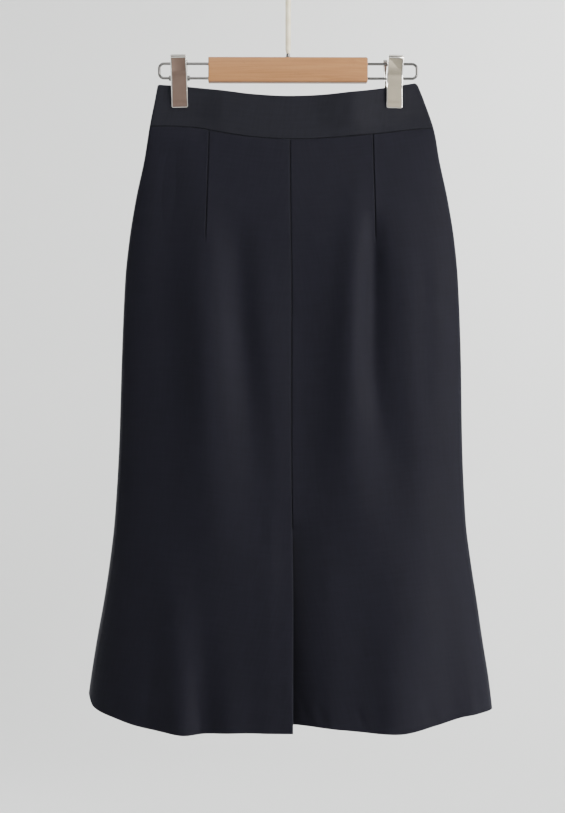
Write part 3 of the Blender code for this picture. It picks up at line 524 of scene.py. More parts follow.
def lengths_along(grid, axis):
    """The real distance along a grid's lines, from its first line, in metres."""
    steps = np.linalg.norm(np.diff(grid, axis=axis), axis=-1)
    start = np.zeros_like(np.take(steps, [0], axis=axis))
    return np.concatenate([start, np.cumsum(steps, axis=axis)], axis=axis) * MM


def rim_of(quads):
    """The edges of the grid's quads that only one quad uses, in that quad's direction."""
    edges = np.concatenate([quads[:, [i, (i + 1) % 4]] for i in range(4)])
    count = int(quads.max()) + 1
    forward = edges[:, 0] * count + edges[:, 1]
    backward = edges[:, 1] * count + edges[:, 0]
    return edges[~np.isin(forward, backward)]


def shell(name, outer, inner, face, shown=None, shade=None):
    """A closed piece of cloth between two grids of points (mm). The painted shade, the last
    argument, is kept at each outer point for the material, as how deep it lies in a seam."""
    rows, columns = outer.shape[:2]
    back = rows * columns
    shown = np.ones((rows, columns), bool) if shown is None else shown
    shade = np.zeros((rows, columns)) if shade is None else shade
    index = np.arange(back).reshape(rows, columns)
    whole = shown[:-1, :-1] & shown[:-1, 1:] & shown[1:, 1:] & shown[1:, :-1]
    corners = [index[:-1, :-1], index[:-1, 1:], index[1:, 1:], index[1:, :-1]]
    quads = np.stack(corners, axis=-1)[whole]
    if normals_of(outer)[..., 1].mean() * face < 0:
        quads = quads[:, ::-1]
    rim = rim_of(quads)
    strips = np.stack([rim[:, 1], rim[:, 0], rim[:, 0] + back, rim[:, 1] + back], axis=-1)
    faces = np.concatenate([quads, quads[:, ::-1] + back, strips])
    points = np.concatenate([outer.reshape(-1, 3), inner.reshape(-1, 3)]) * MM
    lengths = np.stack([lengths_along(outer, 1), -lengths_along(outer, 0)], axis=-1)
    place = np.tile(lengths.reshape(-1, 2), (2, 1))
    shade = np.concatenate([shade.ravel(), np.zeros(back)])
    used, renumbered = np.unique(faces, return_inverse=True)
    faces = renumbered.reshape(faces.shape)

    mesh = bpy.data.meshes.new(name)
    mesh.from_pydata(points[used].tolist(), [], faces.tolist())
    uv = mesh.uv_layers.new(name="cloth")
    uv.data.foreach_set("uv", place[used][faces.reshape(-1)].reshape(-1))
    # The painted shade of the seams goes to the material as a point attribute.
    mesh.attributes.new("shade", "FLOAT", "POINT").data.foreach_set("value", shade[used])
    mesh.shade_smooth()
    mesh.update()
    return linked(name, mesh)


# %% Columns and rows of a panel
SIDE_COLUMNS = 46
SEAM_COLUMNS = 38
DART_STEPS = (3.2, 2.2, 1.4, 0.9, 0.5, 0.2, -0.2, -0.5, -0.9, -1.4, -2.2, -3.2)
DART_CLEAR = 5.2
PANEL_ROWS = 215
PANEL_LENGTH = 735.0
UNDERLAP_WIDTH = 30.0
UNDERLAP_COLUMNS = 9


def spaced(length, count):
    """Shares from 0 to 1, even but for a few crowded ones beside both ends."""
    ends = np.array(EDGE_STEPS) / length
    middle = np.linspace(ends[-1], 1 - ends[-1], count)
    return np.concatenate([ends[:-1], middle, 1 - ends[:-1][::-1]])


def panel_swings(half, dart, drop):
    """A panel's columns: even from the side to the dart, crowded over it, even to the seam."""
    drop = drop[:, None]
    x = dart_line(dart, drop)
    side = swing_at(half, x + half * DART_CLEAR, drop)
    over = swing_at(half, x + half * np.array(DART_STEPS), drop)
    inside = swing_at(half, x - half * DART_CLEAR, drop)
    edge = swing_at(half, section("seam", drop) + half * np.array(EDGE_STEPS[::-1]), drop)
    to_dart = side * np.linspace(0, 1, SIDE_COLUMNS)
    to_seam = inside + (edge[:, :1] - inside) * np.linspace(0, 1, SEAM_COLUMNS)
    return np.concatenate([to_dart, over, to_seam, edge[:, 1:]], axis=1)


def panel_drops(face, half, swing, shares):
    across = half * np.cos(swing)
    top = edge_drop(face, "waist", across)
    bottom = edge_drop(face, "hem", across)
    return top + (bottom - top) * shares, top, bottom


columns = SIDE_COLUMNS + len(DART_STEPS) + SEAM_COLUMNS + len(EDGE_STEPS)
print("a panel has about", PANEL_ROWS, "rows and", columns, "columns")


# %% A panel, outside and inside
def with_side_edge(grid, shade, relieved):
    """Adds the column that runs from the turned side straight into the seam, where front and
    back meet."""
    edge = grid[:, :1].copy()
    edge[..., 1] = grip_at(edge[..., 0], -edge[..., 2])[1]
    edge[..., 0] -= np.sign(edge[..., 0]) * (SIDE_SEAM_SET if relieved else 0.0)
    return np.concatenate([edge, grid], axis=1), np.concatenate([shade[:, :1], shade], axis=1)


def panel_points(face, half, dart, relieved):
    """A panel's grid of points, with or without its relief, and the painted shade in its seams,
    its dart and under the vent's lap.
    """
    shares = spaced(PANEL_LENGTH, PANEL_ROWS)[:, None]
    side_drops, centre_drops = (
        panel_drops(face, half, np.full((1, 1), swing), shares)[0] for swing in (0.0, math.pi / 2)
    )
    swing = panel_swings(half, dart, ((side_drops + centre_drops) / 2)[:, 0])
    drop, top, bottom = panel_drops(face, half, swing, shares)
    x, from_side, from_seam = spread(half, swing, drop)
    relief = 0.0
    if relieved:
        inset = ease(from_side, *SIDE_FADE)
        relief = (
            small_creases(face, x, drop, from_side) + dart_relief(dart, x, drop)
            + rolled(drop - top, ROLL_DEPTH) + rolled(bottom - drop, HEM_ROLL_DEPTH)
            + rolled(from_seam, ROLL_DEPTH) + pucker(from_seam, drop, half * 2.0 + face)
            + pucker(drop - top, x, face * 1.3) * inset + hem_relief(bottom - drop, x) * inset
            + side_edge_relief(from_side, drop)
        )
    # Painted shade along the dart line, the centre seam and the waist seam.
    painted_dart_shade = bell(x - dart_line(dart, drop), DART_SHADE) * dart_fade(dart, drop)
    painted_seam_shade = bell(from_seam, SEAM_SHADE)
    if face < 0:
        fade = 1 - ease(drop, VENT_TOP_DROP - VENT_SEAM_FADE, VENT_TOP_DROP + VENT_SEAM_FADE)
        painted_seam_shade = painted_seam_shade * fade
    shade = np.maximum(np.maximum(bell(drop - top, SEAM_SHADE), painted_seam_shade), painted_dart_shade)
    # Painted shadow on the right front where it runs under the left front's lap.
    if face < 0 and half > 0:
        painted_under_shade = VENT_SHADE * np.exp(-from_seam / VENT_SHADE_REACH)
        painted_under_shade = painted_under_shade * ease(drop, VENT_TOP_DROP - VENT_DIP, VENT_TOP_DROP + VENT_DIP)
        shade = np.maximum(shade, painted_under_shade)
    return with_side_edge(cloth_points(face, half, swing, drop, relief), shade, relieved)


def inner_points(grid, wall, face):
    """The grid moved in by the wall along its own normals."""
    normals = normals_of(grid)
    outward = np.sign(normals[..., 1].mean() * face)
    inner = grid - outward * normals * wall
    inner[:, 0, 1] = grid[:, 0, 1]
    inner[:, -1, 0] = grid[:, -1, 0]
    return inner


def underlap_points(plain, relieved):
    """The right front goes on behind the left one beside the vent. Its form is the left
    front's, moved back by as much as the right front is there."""
    steps = UNDERLAP_WIDTH * spaced(UNDERLAP_WIDTH, UNDERLAP_COLUMNS)[None, 1:]
    x = relieved[:, -1:, 0] - steps
    drop = -relieved[:, -1:, 2] + 0 * x
    over = cloth_points(-1, -1, swing_at(-1, x, drop), drop)
    lap = np.stack([x, over[..., 1] + vent_recess(x, drop) + vent_lift(x, drop), -drop], axis=-1)
    rolled_lap = lap.copy()
    rolled_lap[..., 1] -= rolled(UNDERLAP_WIDTH - steps, ROLL_DEPTH)
    shown = np.ones(relieved.shape[:2], bool)
    pairs = ((plain, lap), (relieved, rolled_lap), (shown, drop >= VENT_TOP_DROP))
    return [np.concatenate(pair, axis=1) for pair in pairs]


def make_panel(name, face, half, dart, underlap=False):
    plain = panel_points(face, half, dart, False)[0]
    relieved, shade = panel_points(face, half, dart, True)
    shown = None
    if underlap:
        edge = slice(-len(EDGE_STEPS), None)
        below = -relieved[:, -1:, 2:] >= VENT_TOP_DROP
        relieved[:, edge] = np.where(below, plain[:, edge], relieved[:, edge])
        plain, relieved, shown = underlap_points(plain, relieved)
        added_columns = relieved.shape[1] - shade.shape[1]
        shade = np.pad(shade, ((0, 0), (0, added_columns)), mode="edge")
    return shell(name, relieved, inner_points(plain, PANEL_WALL, face), face, shown, shade)


panels = {
    "skirt_front_left": make_panel("front_left_cloth", -1, -1, FRONT_DARTS[-1]),
    "skirt_front_right": make_panel("front_right_cloth", -1, 1, FRONT_DARTS[1], underlap=True),
    "skirt_back_left": make_panel("back_left_cloth", 1, -1, BACK_DARTS[-1]),
    "skirt_back_right": make_panel("back_right_cloth", 1, 1, BACK_DARTS[1]),
}
for panel in panels.values():
    report(panel)

# %% [markdown]
# ## The waistband
#
# The band is two layers of suiting with a stiff interlining, folded over at the top, so its
# top edge is rounder than a cut edge and its face is smoother than the panels. In front it is
# one piece from side to side; behind, two halves meet at the zip. It is made like a panel,
# from the band's top line to the waist seam.

# %% The band's grids
BAND_ROWS = 22
BAND_COLUMNS = 52
BAND_HEIGHT = 53.0
BAND_TOP_DROP = 170.0
BAND_MIDDLE_DROP = 200.0
ZIP_SLOT = 1.0
BAND_TOP_ROLL = 0.95
BAND_CORNER = {-1: 2.4, 1: 4.0}


def band_points(face, half, centre_gap, relieved):
    off = centre_gap + np.array(EDGE_STEPS[::-1])
    last = swing_at(half, section("seam", BAND_MIDDLE_DROP) + half * off, BAND_MIDDLE_DROP)
    swing = np.concatenate([np.linspace(0, last[0], BAND_COLUMNS), last[1:]])[None, :]
    across = half * np.cos(swing)
    corner = BAND_CORNER[half]
    around = np.clip(spread(half, swing, BAND_TOP_DROP)[1] / corner, 0.0, 1.0)
    top = edge_drop(face, "top", across) + corner * (1 - np.sqrt(1 - (1 - around) ** 2))
    bottom = edge_drop(face, "waist", across)
    drop = top + (bottom - top) * spaced(BAND_HEIGHT, BAND_ROWS)[:, None]
    x, from_side, from_centre = spread(half, swing, drop)
    relief = 0.0
    # Painted shade along the waist seam, and behind it beside the zip.
    shade = bell(bottom - drop, SEAM_SHADE)
    if relieved:
        relief = rolled(drop - top, BAND_TOP_ROLL) + rolled(bottom - drop, ROLL_DEPTH)
        relief = relief + pucker(bottom - drop, x, 4.0 + face) * ease(from_side, *SIDE_FADE)
        if face > 0:
            relief = relief + rolled(from_centre - centre_gap, ROLL_DEPTH)
            shade = np.maximum(shade, bell(from_centre - centre_gap, SEAM_SHADE))
    return with_side_edge(cloth_points(face, half, swing, drop, relief), shade, relieved)


def make_band_half(name, half):
    plain = band_points(1, half, ZIP_SLOT, False)[0]
    relieved, shade = band_points(1, half, ZIP_SLOT, True)
    return shell(name, relieved, inner_points(plain, BAND_WALL, 1), 1, shade=shade)


def make_band_front(name):
    plain, relieved = (
        [
            np.concatenate([left[:, :-1], right[:, ::-1]], axis=1)
            for left, right in zip(band_points(-1, -1, 0, relief), band_points(-1, 1, 0, relief))
        ]
        for relief in (False, True)
    )
    inner = inner_points(plain[0], BAND_WALL, -1)
    inner[:, -1, 1] = plain[0][:, -1, 1]
    return shell(name, relieved[0], inner, -1, shade=relieved[1])


bands = {
    "waistband_front": make_band_front("band_front_cloth"),
    "waistband_back_left": make_band_half("band_back_left_cloth", -1),
    "waistband_back_right": make_band_half("band_back_right_cloth", 1),
}
for band in bands.values():
    report(band)

# %% [markdown]
# ## Modelling hard pieces by hand
#
# Wood and metal pieces begin as a primitive at its real place, and are then shaped in edit
# mode with the same tools as with a mouse: extrude, bevel, spin, inset. A script has no mouse,
# so edges and faces are picked by a test on their place or direction. Operators act on all
# that is selected, and everything is still selected after the frame is loaded, so each piece
# starts by deselecting.

# %% Helpers for edit mode
MERGE = 0.002 * MM
NEAR = MM / 9


def nothing_selected():
    if bpy.context.object and bpy.context.object.mode == "EDIT":
        bpy.ops.object.mode_set(mode="OBJECT")
    bpy.ops.object.select_all(action="DESELECT")


def only(piece):
    nothing_selected()
    piece.select_set(True)
    bpy.context.view_layer.objects.active = piece


def added(name):
    """Names the primitive that was just added and moves its place into its mesh."""
    piece = bpy.context.object
    piece.name = piece.data.name = name
    bpy.ops.object.transform_apply(location=True, rotation=True, scale=True)
    return piece


def edit(piece):
    only(piece)
    bpy.ops.object.mode_set(mode="EDIT")


@contextmanager
def edit_mesh(piece):
    """The mesh behind edit mode, which shows what was changed when it is let go."""
    yield bmesh.from_edit_mesh(piece.data)
    bmesh.update_edit_mesh(piece.data)


def pick(piece, kind, test):
    """In edit mode, selects the faces, edges or verts that pass the test, and no others."""
    bpy.ops.mesh.select_mode(type=kind)
    bpy.ops.mesh.select_all(action="DESELECT")
    with edit_mesh(piece) as mesh:
        for part in {"VERT": mesh.verts, "EDGE": mesh.edges, "FACE": mesh.faces}[kind]:
            if test(part):
                part.select_set(True)
        mesh.select_flush_mode()


def pick_all(kind="VERT"):
    bpy.ops.mesh.select_mode(type=kind)
    bpy.ops.mesh.select_all(action="SELECT")


def middle_of(edge):
    return (edge.verts[0].co + edge.verts[1].co) / 2


def runs_along(edge, axis):
    run = (edge.verts[1].co - edge.verts[0].co).normalized()
    return abs(run[axis]) > 0.99


def turns_by(edge, angle):
    return len(edge.link_faces) == 2 and edge.calc_face_angle(0.0) > angle


def is_corner(edge):
    return turns_by(edge, math.radians(60))


def draw_on(step):
    """Extrudes the picked edges by one step."""
    bpy.ops.mesh.extrude_edges_move(TRANSFORM_OT_translate={"value": step})


def bevelled(piece, test, width, segments, clamp=False):
    """Picks edges and bevels them."""
    pick(piece, "EDGE", test)
    bpy.ops.mesh.bevel(offset=width, segments=segments, affect="EDGES", clamp_overlap=clamp)


def close_up(merge=MERGE, inside=False):
    """Merges doubled points, turns every face outwards, or inwards, and leaves edit mode."""
    pick_all()
    bpy.ops.mesh.remove_doubles(threshold=merge)
    bpy.ops.mesh.normals_make_consistent(inside=inside)
    bpy.ops.object.mode_set(mode="OBJECT")


def modified(piece, kind, **settings):
    """Adds a modifier, sets it and applies it."""
    modifier = piece.modifiers.new(kind.lower(), kind)
    for name, value in settings.items():
        setattr(modifier, name, value)
    only(piece)
    bpy.ops.object.modifier_apply(modifier=modifier.name)


def rounded(piece, width, degrees):
    """Bevels all edges that turn by more than an angle."""
    limit = math.radians(degrees)
    modified(piece, "BEVEL", width=width, segments=2, limit_method="ANGLE", angle_limit=limit)


def smooth(piece, degrees=35):
    only(piece)
    bpy.ops.object.shade_smooth_by_angle(angle=math.radians(degrees))


# %% [markdown]
# ## The wooden bar
#
# The bar is a stick of beech about twenty centimetres long. It is planed square, its long
# arrises are eased with a small round-over, and one end has rounder corners than the other,
# as hand-sanded sticks do. It starts as a cube of the bar's size, its corners are bevelled
# edge by edge, and then it is drilled for the two wires and the hook's neck with Booleans.

# %% Bar sizes
RIGHT_CORNER = 2.3 * MM
LEFT_CORNER = 0.6 * MM
ARRIS = 0.9 * MM
WIRE_RADIUS = 1.65
WIRE_UPPER_DROP = 145.0
WIRE_LOWER_DROP = 163.1
WIRE_SEAT = 14.0
NECK_RADIUS = 2.4
NECK_HOLE = 13.0
BAR_HOLE_CLEAR = 0.35
DRILL_OVER = 3.0
DRILL_SIDES = 40


def drill(piece, start, direction, radius, depth):
    """Bores a round hole from a place on the surface."""
    nothing_selected()
    back = start - direction * DRILL_OVER * MM
    length = depth + DRILL_OVER * MM
    bpy.ops.mesh.primitive_cylinder_add(
        vertices=DRILL_SIDES, radius=radius, depth=length,
        location=back + direction * length / 2,
        rotation=direction.to_track_quat("Z", "Y").to_euler(),
    )
    cutter = added("drill")
    modified(piece, "BOOLEAN", operation="DIFFERENCE", solver="EXACT", object=cutter)
    bpy.data.objects.remove(cutter)


# %% Bar
def make_bar():
    low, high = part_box("hanger_bar")
    nothing_selected()
    bpy.ops.mesh.primitive_cube_add(size=1, location=(low + high) / 2, scale=high - low)
    bar = added("bar")
    edit(bar)
    bevelled(bar, lambda edge: runs_along(edge, 1) and middle_of(edge).x > 0, RIGHT_CORNER, 6)
    bevelled(bar, lambda edge: runs_along(edge, 1) and middle_of(edge).x < 0, LEFT_CORNER, 2)
    bevelled(bar, is_corner, ARRIS, 3)
    close_up()
    for end, inwards in ((low.x, Vector((1, 0, 0))), (high.x, Vector((-1, 0, 0)))):
        for drop in (WIRE_UPPER_DROP, WIRE_LOWER_DROP):
            start = Vector((end, 0, -drop * MM))
            drill(bar, start, inwards, (WIRE_RADIUS + BAR_HOLE_CLEAR) * MM, WIRE_SEAT * MM)
    top = Vector((0, 0, high.z))
    drill(bar, top, Vector((0, 0, -1)), (NECK_RADIUS + BAR_HOLE_CLEAR) * MM, NECK_HOLE * MM)
    smooth(bar)
    return bar


bar = make_bar()
report(bar)

# %% [markdown]
# ## Wires and hook
#
# The clips slide on two nickel-plated wires, each bent from one rod into a long loop whose
# ends are pushed into the bar. The hook is a thicker rod in a cream sleeve. Bent rods could be
# bevelled curves, but drawing them as a bender does is a good exercise: a filled circle is
# extruded along the straight stretches and spun about the middle of each bend.

# %% Helpers for rods
def rod_start(name, radius, place, heading, sides=24):
    nothing_selected()
    bpy.ops.mesh.primitive_circle_add(
        vertices=sides, radius=radius, fill_type="NGON", location=place,
        rotation=heading.to_track_quat("Z", "Y").to_euler(),
    )
    rod = added(name)
    edit(rod)
    pick_all("FACE")
    return rod


def run_on(step):
    bpy.ops.mesh.extrude_region_move(TRANSFORM_OT_translate={"value": step})


def bend_on(centre, angle, steps):
    """Spins the rod's end in the plane of the hanger; a positive angle turns +X up to +Z. The
    operator turns clockwise about its axis, so the axis points away from the viewer."""
    bpy.ops.mesh.spin(steps=steps, angle=angle, center=centre, axis=(0, 1, 0))


def swell(centre, share):
    bpy.ops.transform.resize(value=(share, share, share), center_override=centre)


def run_down(place, share, steps):
    """Runs a rod down in steps, each a length and the share of the full radius at its end."""
    for length, next_share in steps:
        step = Vector((0, 0, -length * MM))
        run_on(step)
        place = place + step
        swell(place, next_share / share)
        share = next_share
    return place


# %% Wires
WIRE_REACH = 161.0
WIRE_CORNER = 6.0
WIRE_END_CLEAR = 1.0


def make_wire(name, side):
    start = side * (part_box("hanger_bar")[1].x - (WIRE_SEAT - WIRE_END_CLEAR) * MM)
    corner = side * (WIRE_REACH - WIRE_CORNER) * MM
    upper, lower = -WIRE_UPPER_DROP * MM, -WIRE_LOWER_DROP * MM
    bend = WIRE_CORNER * MM
    rod = rod_start(name, WIRE_RADIUS * MM, (start, 0, upper), Vector((side, 0, 0)))
    run_on((corner - start, 0, 0))
    bend_on((corner, 0, upper - bend), -side * math.pi / 2, 10)
    run_on((0, 0, lower - upper + 2 * bend))
    bend_on((corner, 0, lower + bend), -side * math.pi / 2, 10)
    run_on((start - corner, 0, 0))
    close_up()
    smooth(rod, 50)
    return rod


wires = {
    "hanger_wire_left": make_wire("wire_left", -1),
    "hanger_wire_right": make_wire("wire_right", 1),
}
for wire in wires.values():
    report(wire)

# %% Hook
HOOK_INSIDE_RADIUS = 18.5
SLEEVE_RADIUS = 3.5
HOOK_TIP_ANGLE = 196
HOOK_EXIT_ANGLE = -55
NECK_BEND_RADIUS = 20.0
SLEEVE_TAPER_DROP = 127.0
TIP_SHARES = (0.32, 0.66, 0.86, 0.96, 1.0)
TIP_STEP = 1.7
TAPER = ((1.4, 0.93), (1.9, 0.75), (1.9, 0.56))


def make_hook():
    """From the rounded tip over the top, back under the middle and down to the tapered end."""
    radius = (HOOK_INSIDE_RADIUS + SLEEVE_RADIUS) * MM
    middle = Vector((0, 0, -HOOK_INSIDE_RADIUS * MM))

    def on_loop(degrees):
        turn = math.radians(degrees)
        return middle + radius * Vector((math.cos(turn), 0, math.sin(turn)))

    tip = math.radians(HOOK_TIP_ANGLE)
    heading = Vector((math.sin(tip), 0, -math.cos(tip)))
    tip_radius = SLEEVE_RADIUS * MM * TIP_SHARES[0]
    hook = rod_start("hook", tip_radius, on_loop(HOOK_TIP_ANGLE), heading, 32)
    for count, (before, after) in enumerate(zip(TIP_SHARES, TIP_SHARES[1:]), start=1):
        bend_on(middle, -math.radians(TIP_STEP), 1)
        swell(on_loop(HOOK_TIP_ANGLE - TIP_STEP * count), after / before)
    rest = HOOK_TIP_ANGLE - TIP_STEP * (len(TIP_SHARES) - 1) - HOOK_EXIT_ANGLE
    bend_on(middle, -math.radians(rest), 56)

    turn = math.radians(-HOOK_EXIT_ANGLE)
    leaving = on_loop(HOOK_EXIT_ANGLE)
    bend_radius = NECK_BEND_RADIUS * MM
    length = (leaving.x - bend_radius * (1 - math.cos(turn))) / math.sin(turn)
    step = Vector((-math.sin(turn), 0, -math.cos(turn))) * length
    run_on(step)
    bend_middle = Vector((bend_radius, 0, (leaving + step).z - bend_radius * math.sin(turn)))
    bend_on(bend_middle, turn, 14)
    taper_start = Vector((0, 0, -SLEEVE_TAPER_DROP * MM))
    run_on(taper_start - Vector((0, 0, bend_middle.z)))
    end = run_down(taper_start, 1.0, TAPER)
    close_up()
    smooth(hook, 50)
    print("the sleeve ends at drop", round(-end.z / MM, 1))
    return hook


hook = make_hook()
report(hook)

# %% Neck, between the sleeve and the bar
NECK_EDGE = 0.35
NECK_EDGE_SHARE = 0.8
COLLAR_HEIGHT = 1.5
COLLAR = ((0.25, 3.2), (0.35, 3.6), (0.75, 3.6), (0.1, NECK_RADIUS))


def make_neck():
    """A plain rod into the bar, with a pressed collar that covers the edge of the hole."""
    low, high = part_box("hook_neck")
    bar_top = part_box("hanger_bar")[1].z
    top = Vector((0, 0, high.z))
    neck = rod_start("neck", NECK_RADIUS * MM * NECK_EDGE_SHARE, top, Vector((0, 0, -1)), 32)
    run_down(top, NECK_EDGE_SHARE, [
        (NECK_EDGE, 1.0), ((high.z - bar_top) / MM - NECK_EDGE - COLLAR_HEIGHT, 1.0),
        *((length, radius / NECK_RADIUS) for length, radius in COLLAR),
        ((bar_top - low.z) / MM, 1.0),
    ])
    close_up()
    smooth(neck, 30)
    return neck


neck = make_neck()
report(neck)

# %% [markdown]
# ## Clips
#
# Each clip is two jaws pressed from sheet steel that turn on a coil spring round the lower
# wire. A jaw is one strip: a lever above the pivot with a lip for the thumb, a knee at the
# pivot and a flat tip that bites the band. Its sides are folded in, deepest at the pivot,
# where they form ears round the spring. The strip is drawn by extruding an edge from bend to
# bend and its bends are rounded with a bevel. Two insets then lift a rim round the plate,
# bright with a painted highlight, with a dark groove inside it, a second extrude folds the
# sides, and a Solidify gives the sheet its thickness.

# %% A jaw's line, from the lip to the tip
JAW_WIDTH = 21.4
JAW_PLATE = 1.2
LEVER_SPREAD = 13.5
BOWED = 0.9

JawBend = namedtuple("JawBend", "off out up")
JAW_LINE = [
    JawBend("plane", LEVER_SPREAD + 1.2, 26.2), JawBend("plane", LEVER_SPREAD + 0.3, 24.7),
    JawBend("knee", 1.6, 7.0), JawBend("knee", 0.0, 2.5), JawBend("knee", 0.0, -3.0),
    JawBend("tip", BOWED, -12.0), JawBend("tip", BOWED, -28.0),
    JawBend("tip", 0.0, -31.5), JawBend("tip", 0.0, -37.5),
]
SIDE_FOLD = rows_of("up depth", """
    -9.5 0.5
    -7.0 1.6
    -3.6 2.6
    -2.0 3.0
    2.0 3.0
    4.0 3.2
    8.0 4.2
    16.0 3.4
    21.5 2.0
    23.4 0.6
""")
FIRST_FOLD = 0.5
EAR_REACH = 2.4
EAR_TOP = 4.2
TIP_CORNER = 2.2
BEND_ROUND = 1.3
LEAST_BEND = 0.04
SHEET_ARRIS = 0.32
RIM_WIDTH = 0.6
RIM_STEP = 0.30
RIM_HEIGHT = 0.28
NARROWING = 0.07
# The rim's finish is a brighter copy of the nickel, a painted highlight.
PLATE_FINISH, RIM_FINISH, GROOVE_FINISH = 0, 1, 2


def jaw_points(clip):
    half = JAW_PLATE / 2
    places = {"plane": 0.0, "knee": clip.barrel_radius + GAP + half, "tip": PINCH + GAP + half}
    return [(places[bend.off] + bend.out, bend.up) for bend in JAW_LINE]


print("a jaw's line has", len(JAW_LINE), "bends")


# %% A jaw's rim and folded sides
def is_bend(edge):
    return runs_along(edge, 0) and turns_by(edge, LEAST_BEND)


def finish_picked(jaw, finish):
    with edit_mesh(jaw) as mesh:
        for face in mesh.faces:
            if face.select:
                face.material_index = finish


def press_rim(jaw, lip_up):
    """A rim stands up round the plate behind a dark step, and the lip has a groove. The rim
    gets the brighter nickel, a painted highlight.
    """
    pick_all("FACE")
    finish_picked(jaw, RIM_FINISH)
    pick(jaw, "FACE", lambda face: abs(face.calc_center_median().z - lip_up * MM) < MM / 4)
    finish_picked(jaw, GROOVE_FINISH)
    pick(jaw, "FACE", lambda face: face.calc_center_median().z < (lip_up - BEND_ROUND) * MM)
    bpy.ops.mesh.inset(thickness=RIM_WIDTH * MM, depth=0, use_boundary=True)
    finish_picked(jaw, GROOVE_FINISH)
    bpy.ops.mesh.inset(thickness=RIM_STEP * MM, depth=0)
    finish_picked(jaw, PLATE_FINISH)

    def off_plate(vert):
        return PLATE_FINISH not in {face.material_index for face in vert.link_faces}

    pick(jaw, "VERT", off_plate)
    bpy.ops.transform.translate(value=(0, -RIM_HEIGHT * MM, 0))


def fold_sides(jaw, half, face):
    """Folds the strip's long sides in; in front the fold is deep enough to make the ears."""
    bottom, top = SIDE_FOLD[0].up * MM, SIDE_FOLD[-1].up * MM

    def at_side(edge):
        middle = middle_of(edge)
        outside = len(edge.link_faces) == 1 and abs(middle.x) > half * 0.999
        return outside and bottom < middle.z < top

    pick(jaw, "EDGE", at_side)
    draw_on((0, FIRST_FOLD * MM, 0))
    with edit_mesh(jaw) as mesh:
        for vert in mesh.verts:
            if vert.select:
                up = vert.co.z / MM
                depth = float(read_off(SIDE_FOLD, "up", "depth", up))
                plate = -vert.co.y / MM + FIRST_FOLD
                if face < 0 and abs(up) < EAR_TOP:
                    lobe = math.sqrt(max(1 - (up / EAR_TOP) ** 2, 0.0))
                    depth = max(depth, (plate + EAR_REACH) * lobe)
                vert.co.y = (-plate + depth) * MM


print("a jaw's rim stands", RIM_HEIGHT, "mm above its plate")


# %% Jaws
def at_pivot(clip):
    """From a clip's own middle to its place and turn on the lower wire."""
    pivot = Matrix.Translation(Vector((clip.x, 0, -WIRE_LOWER_DROP)) * MM)
    return pivot @ Matrix.Rotation(math.radians(clip.turn), 4, "Z")


def make_jaw(name, clip, face):
    """A jaw is modelled at the origin, opening towards +Y, and then goes to its place."""
    points = jaw_points(clip)
    (_, lip_up), (_, lever_up), (_, tip_up) = points[0], points[1], points[-1]
    half = (JAW_WIDTH - JAW_PLATE) / 2 * MM
    nothing_selected()
    bpy.ops.mesh.primitive_plane_add(size=1)
    jaw = added(name)
    edit(jaw)
    with edit_mesh(jaw) as mesh:
        for vert in mesh.verts:
            out, up = points[0] if vert.co.y > 0 else points[1]
            vert.co = Vector((math.copysign(half, vert.co.x), -out * MM, up * MM))
    low_edge = lever_up * MM
    pick(jaw, "EDGE", lambda edge: all(abs(vert.co.z - low_edge) < NEAR for vert in edge.verts))
    for (out, up), (next_out, next_up) in zip(points[1:], points[2:]):
        draw_on((0, -(next_out - out) * MM, (next_up - up) * MM))
    bevelled(jaw, is_bend, BEND_ROUND * MM, 3, clamp=True)
    pick(jaw, "VERT", lambda vert: abs(vert.co.z - tip_up * MM) < NEAR)
    bpy.ops.mesh.bevel(offset=TIP_CORNER * MM, segments=5, affect="VERTICES")
    press_rim(jaw, lever_up)
    fold_sides(jaw, half, face)
    close_up()
    modified(jaw, "SOLIDIFY", thickness=JAW_PLATE * MM, offset=0, use_even_offset=True)
    rounded(jaw, SHEET_ARRIS * MM, 50)
    for vert in jaw.data.vertices:
        vert.co.x *= 1 - NARROWING * (vert.co.z / MM - tip_up) / (lip_up - tip_up)
    lean = Matrix.Rotation(math.radians(clip.lean), 4, "Y")
    facing = Matrix.Rotation(math.pi if face > 0 else 0.0, 4, "Z")
    jaw.data.transform(at_pivot(clip) @ lean @ facing)
    smooth(jaw, 40)
    return jaw


jaws = {}
for clip in CLIPS:
    for face, side in ((-1, "front_jaw"), (1, "back_jaw")):
        node = f"{clip.name}_{side}"
        jaws[node] = make_jaw(node + "_plate", clip, face)
        report(jaws[node])

# %% [markdown]
# ## Springs
#
# The jaws are pushed apart above and together below by a coil spring round the wire. A coil
# is a circle screwed along an axis, which is what the Screw modifier does when it is given a
# rise for each turn. The left clip's coil sits between two rolled ears that show past its
# plate; the right one is a wider, shorter coil.

# %% Springs
COIL_SIDES = 10
COIL_STEPS = 20
SPRING_PACKING = 1.08
EAR_LENGTH = 3.4
EAR_SIDES = 28
EAR_BORE_DEPTH = 9.0
EAR_ROUND = 0.5


def make_spring(clip):
    thickness = clip.barrel_radius - clip.barrel_bore
    pitch = thickness * SPRING_PACKING
    has_ears = clip.barrel_length > JAW_WIDTH
    length = clip.barrel_length - (2 * EAR_LENGTH if has_ears else 0) - thickness
    turns = int(length / pitch)
    coil_radius = (clip.barrel_radius + clip.barrel_bore) / 2
    nothing_selected()
    bpy.ops.mesh.primitive_circle_add(
        vertices=COIL_SIDES, radius=thickness / 2 * MM, rotation=(math.pi / 2, 0, 0),
        location=(coil_radius * MM, 0, -turns * pitch / 2 * MM),
    )
    spring = added(clip.name + "_spring")
    modified(
        spring, "SCREW", axis="Z", screw_offset=pitch * MM, iterations=turns, steps=COIL_STEPS,
        render_steps=COIL_STEPS, use_merge_vertices=False,
    )
    edit(spring)
    pick_all()
    bpy.ops.mesh.fill_holes(sides=0)
    close_up()
    if has_ears:
        add_ears(spring, clip)
    spring.data.transform(at_pivot(clip) @ Matrix.Rotation(math.pi / 2, 4, "Y"))
    smooth(spring, 60)
    return spring


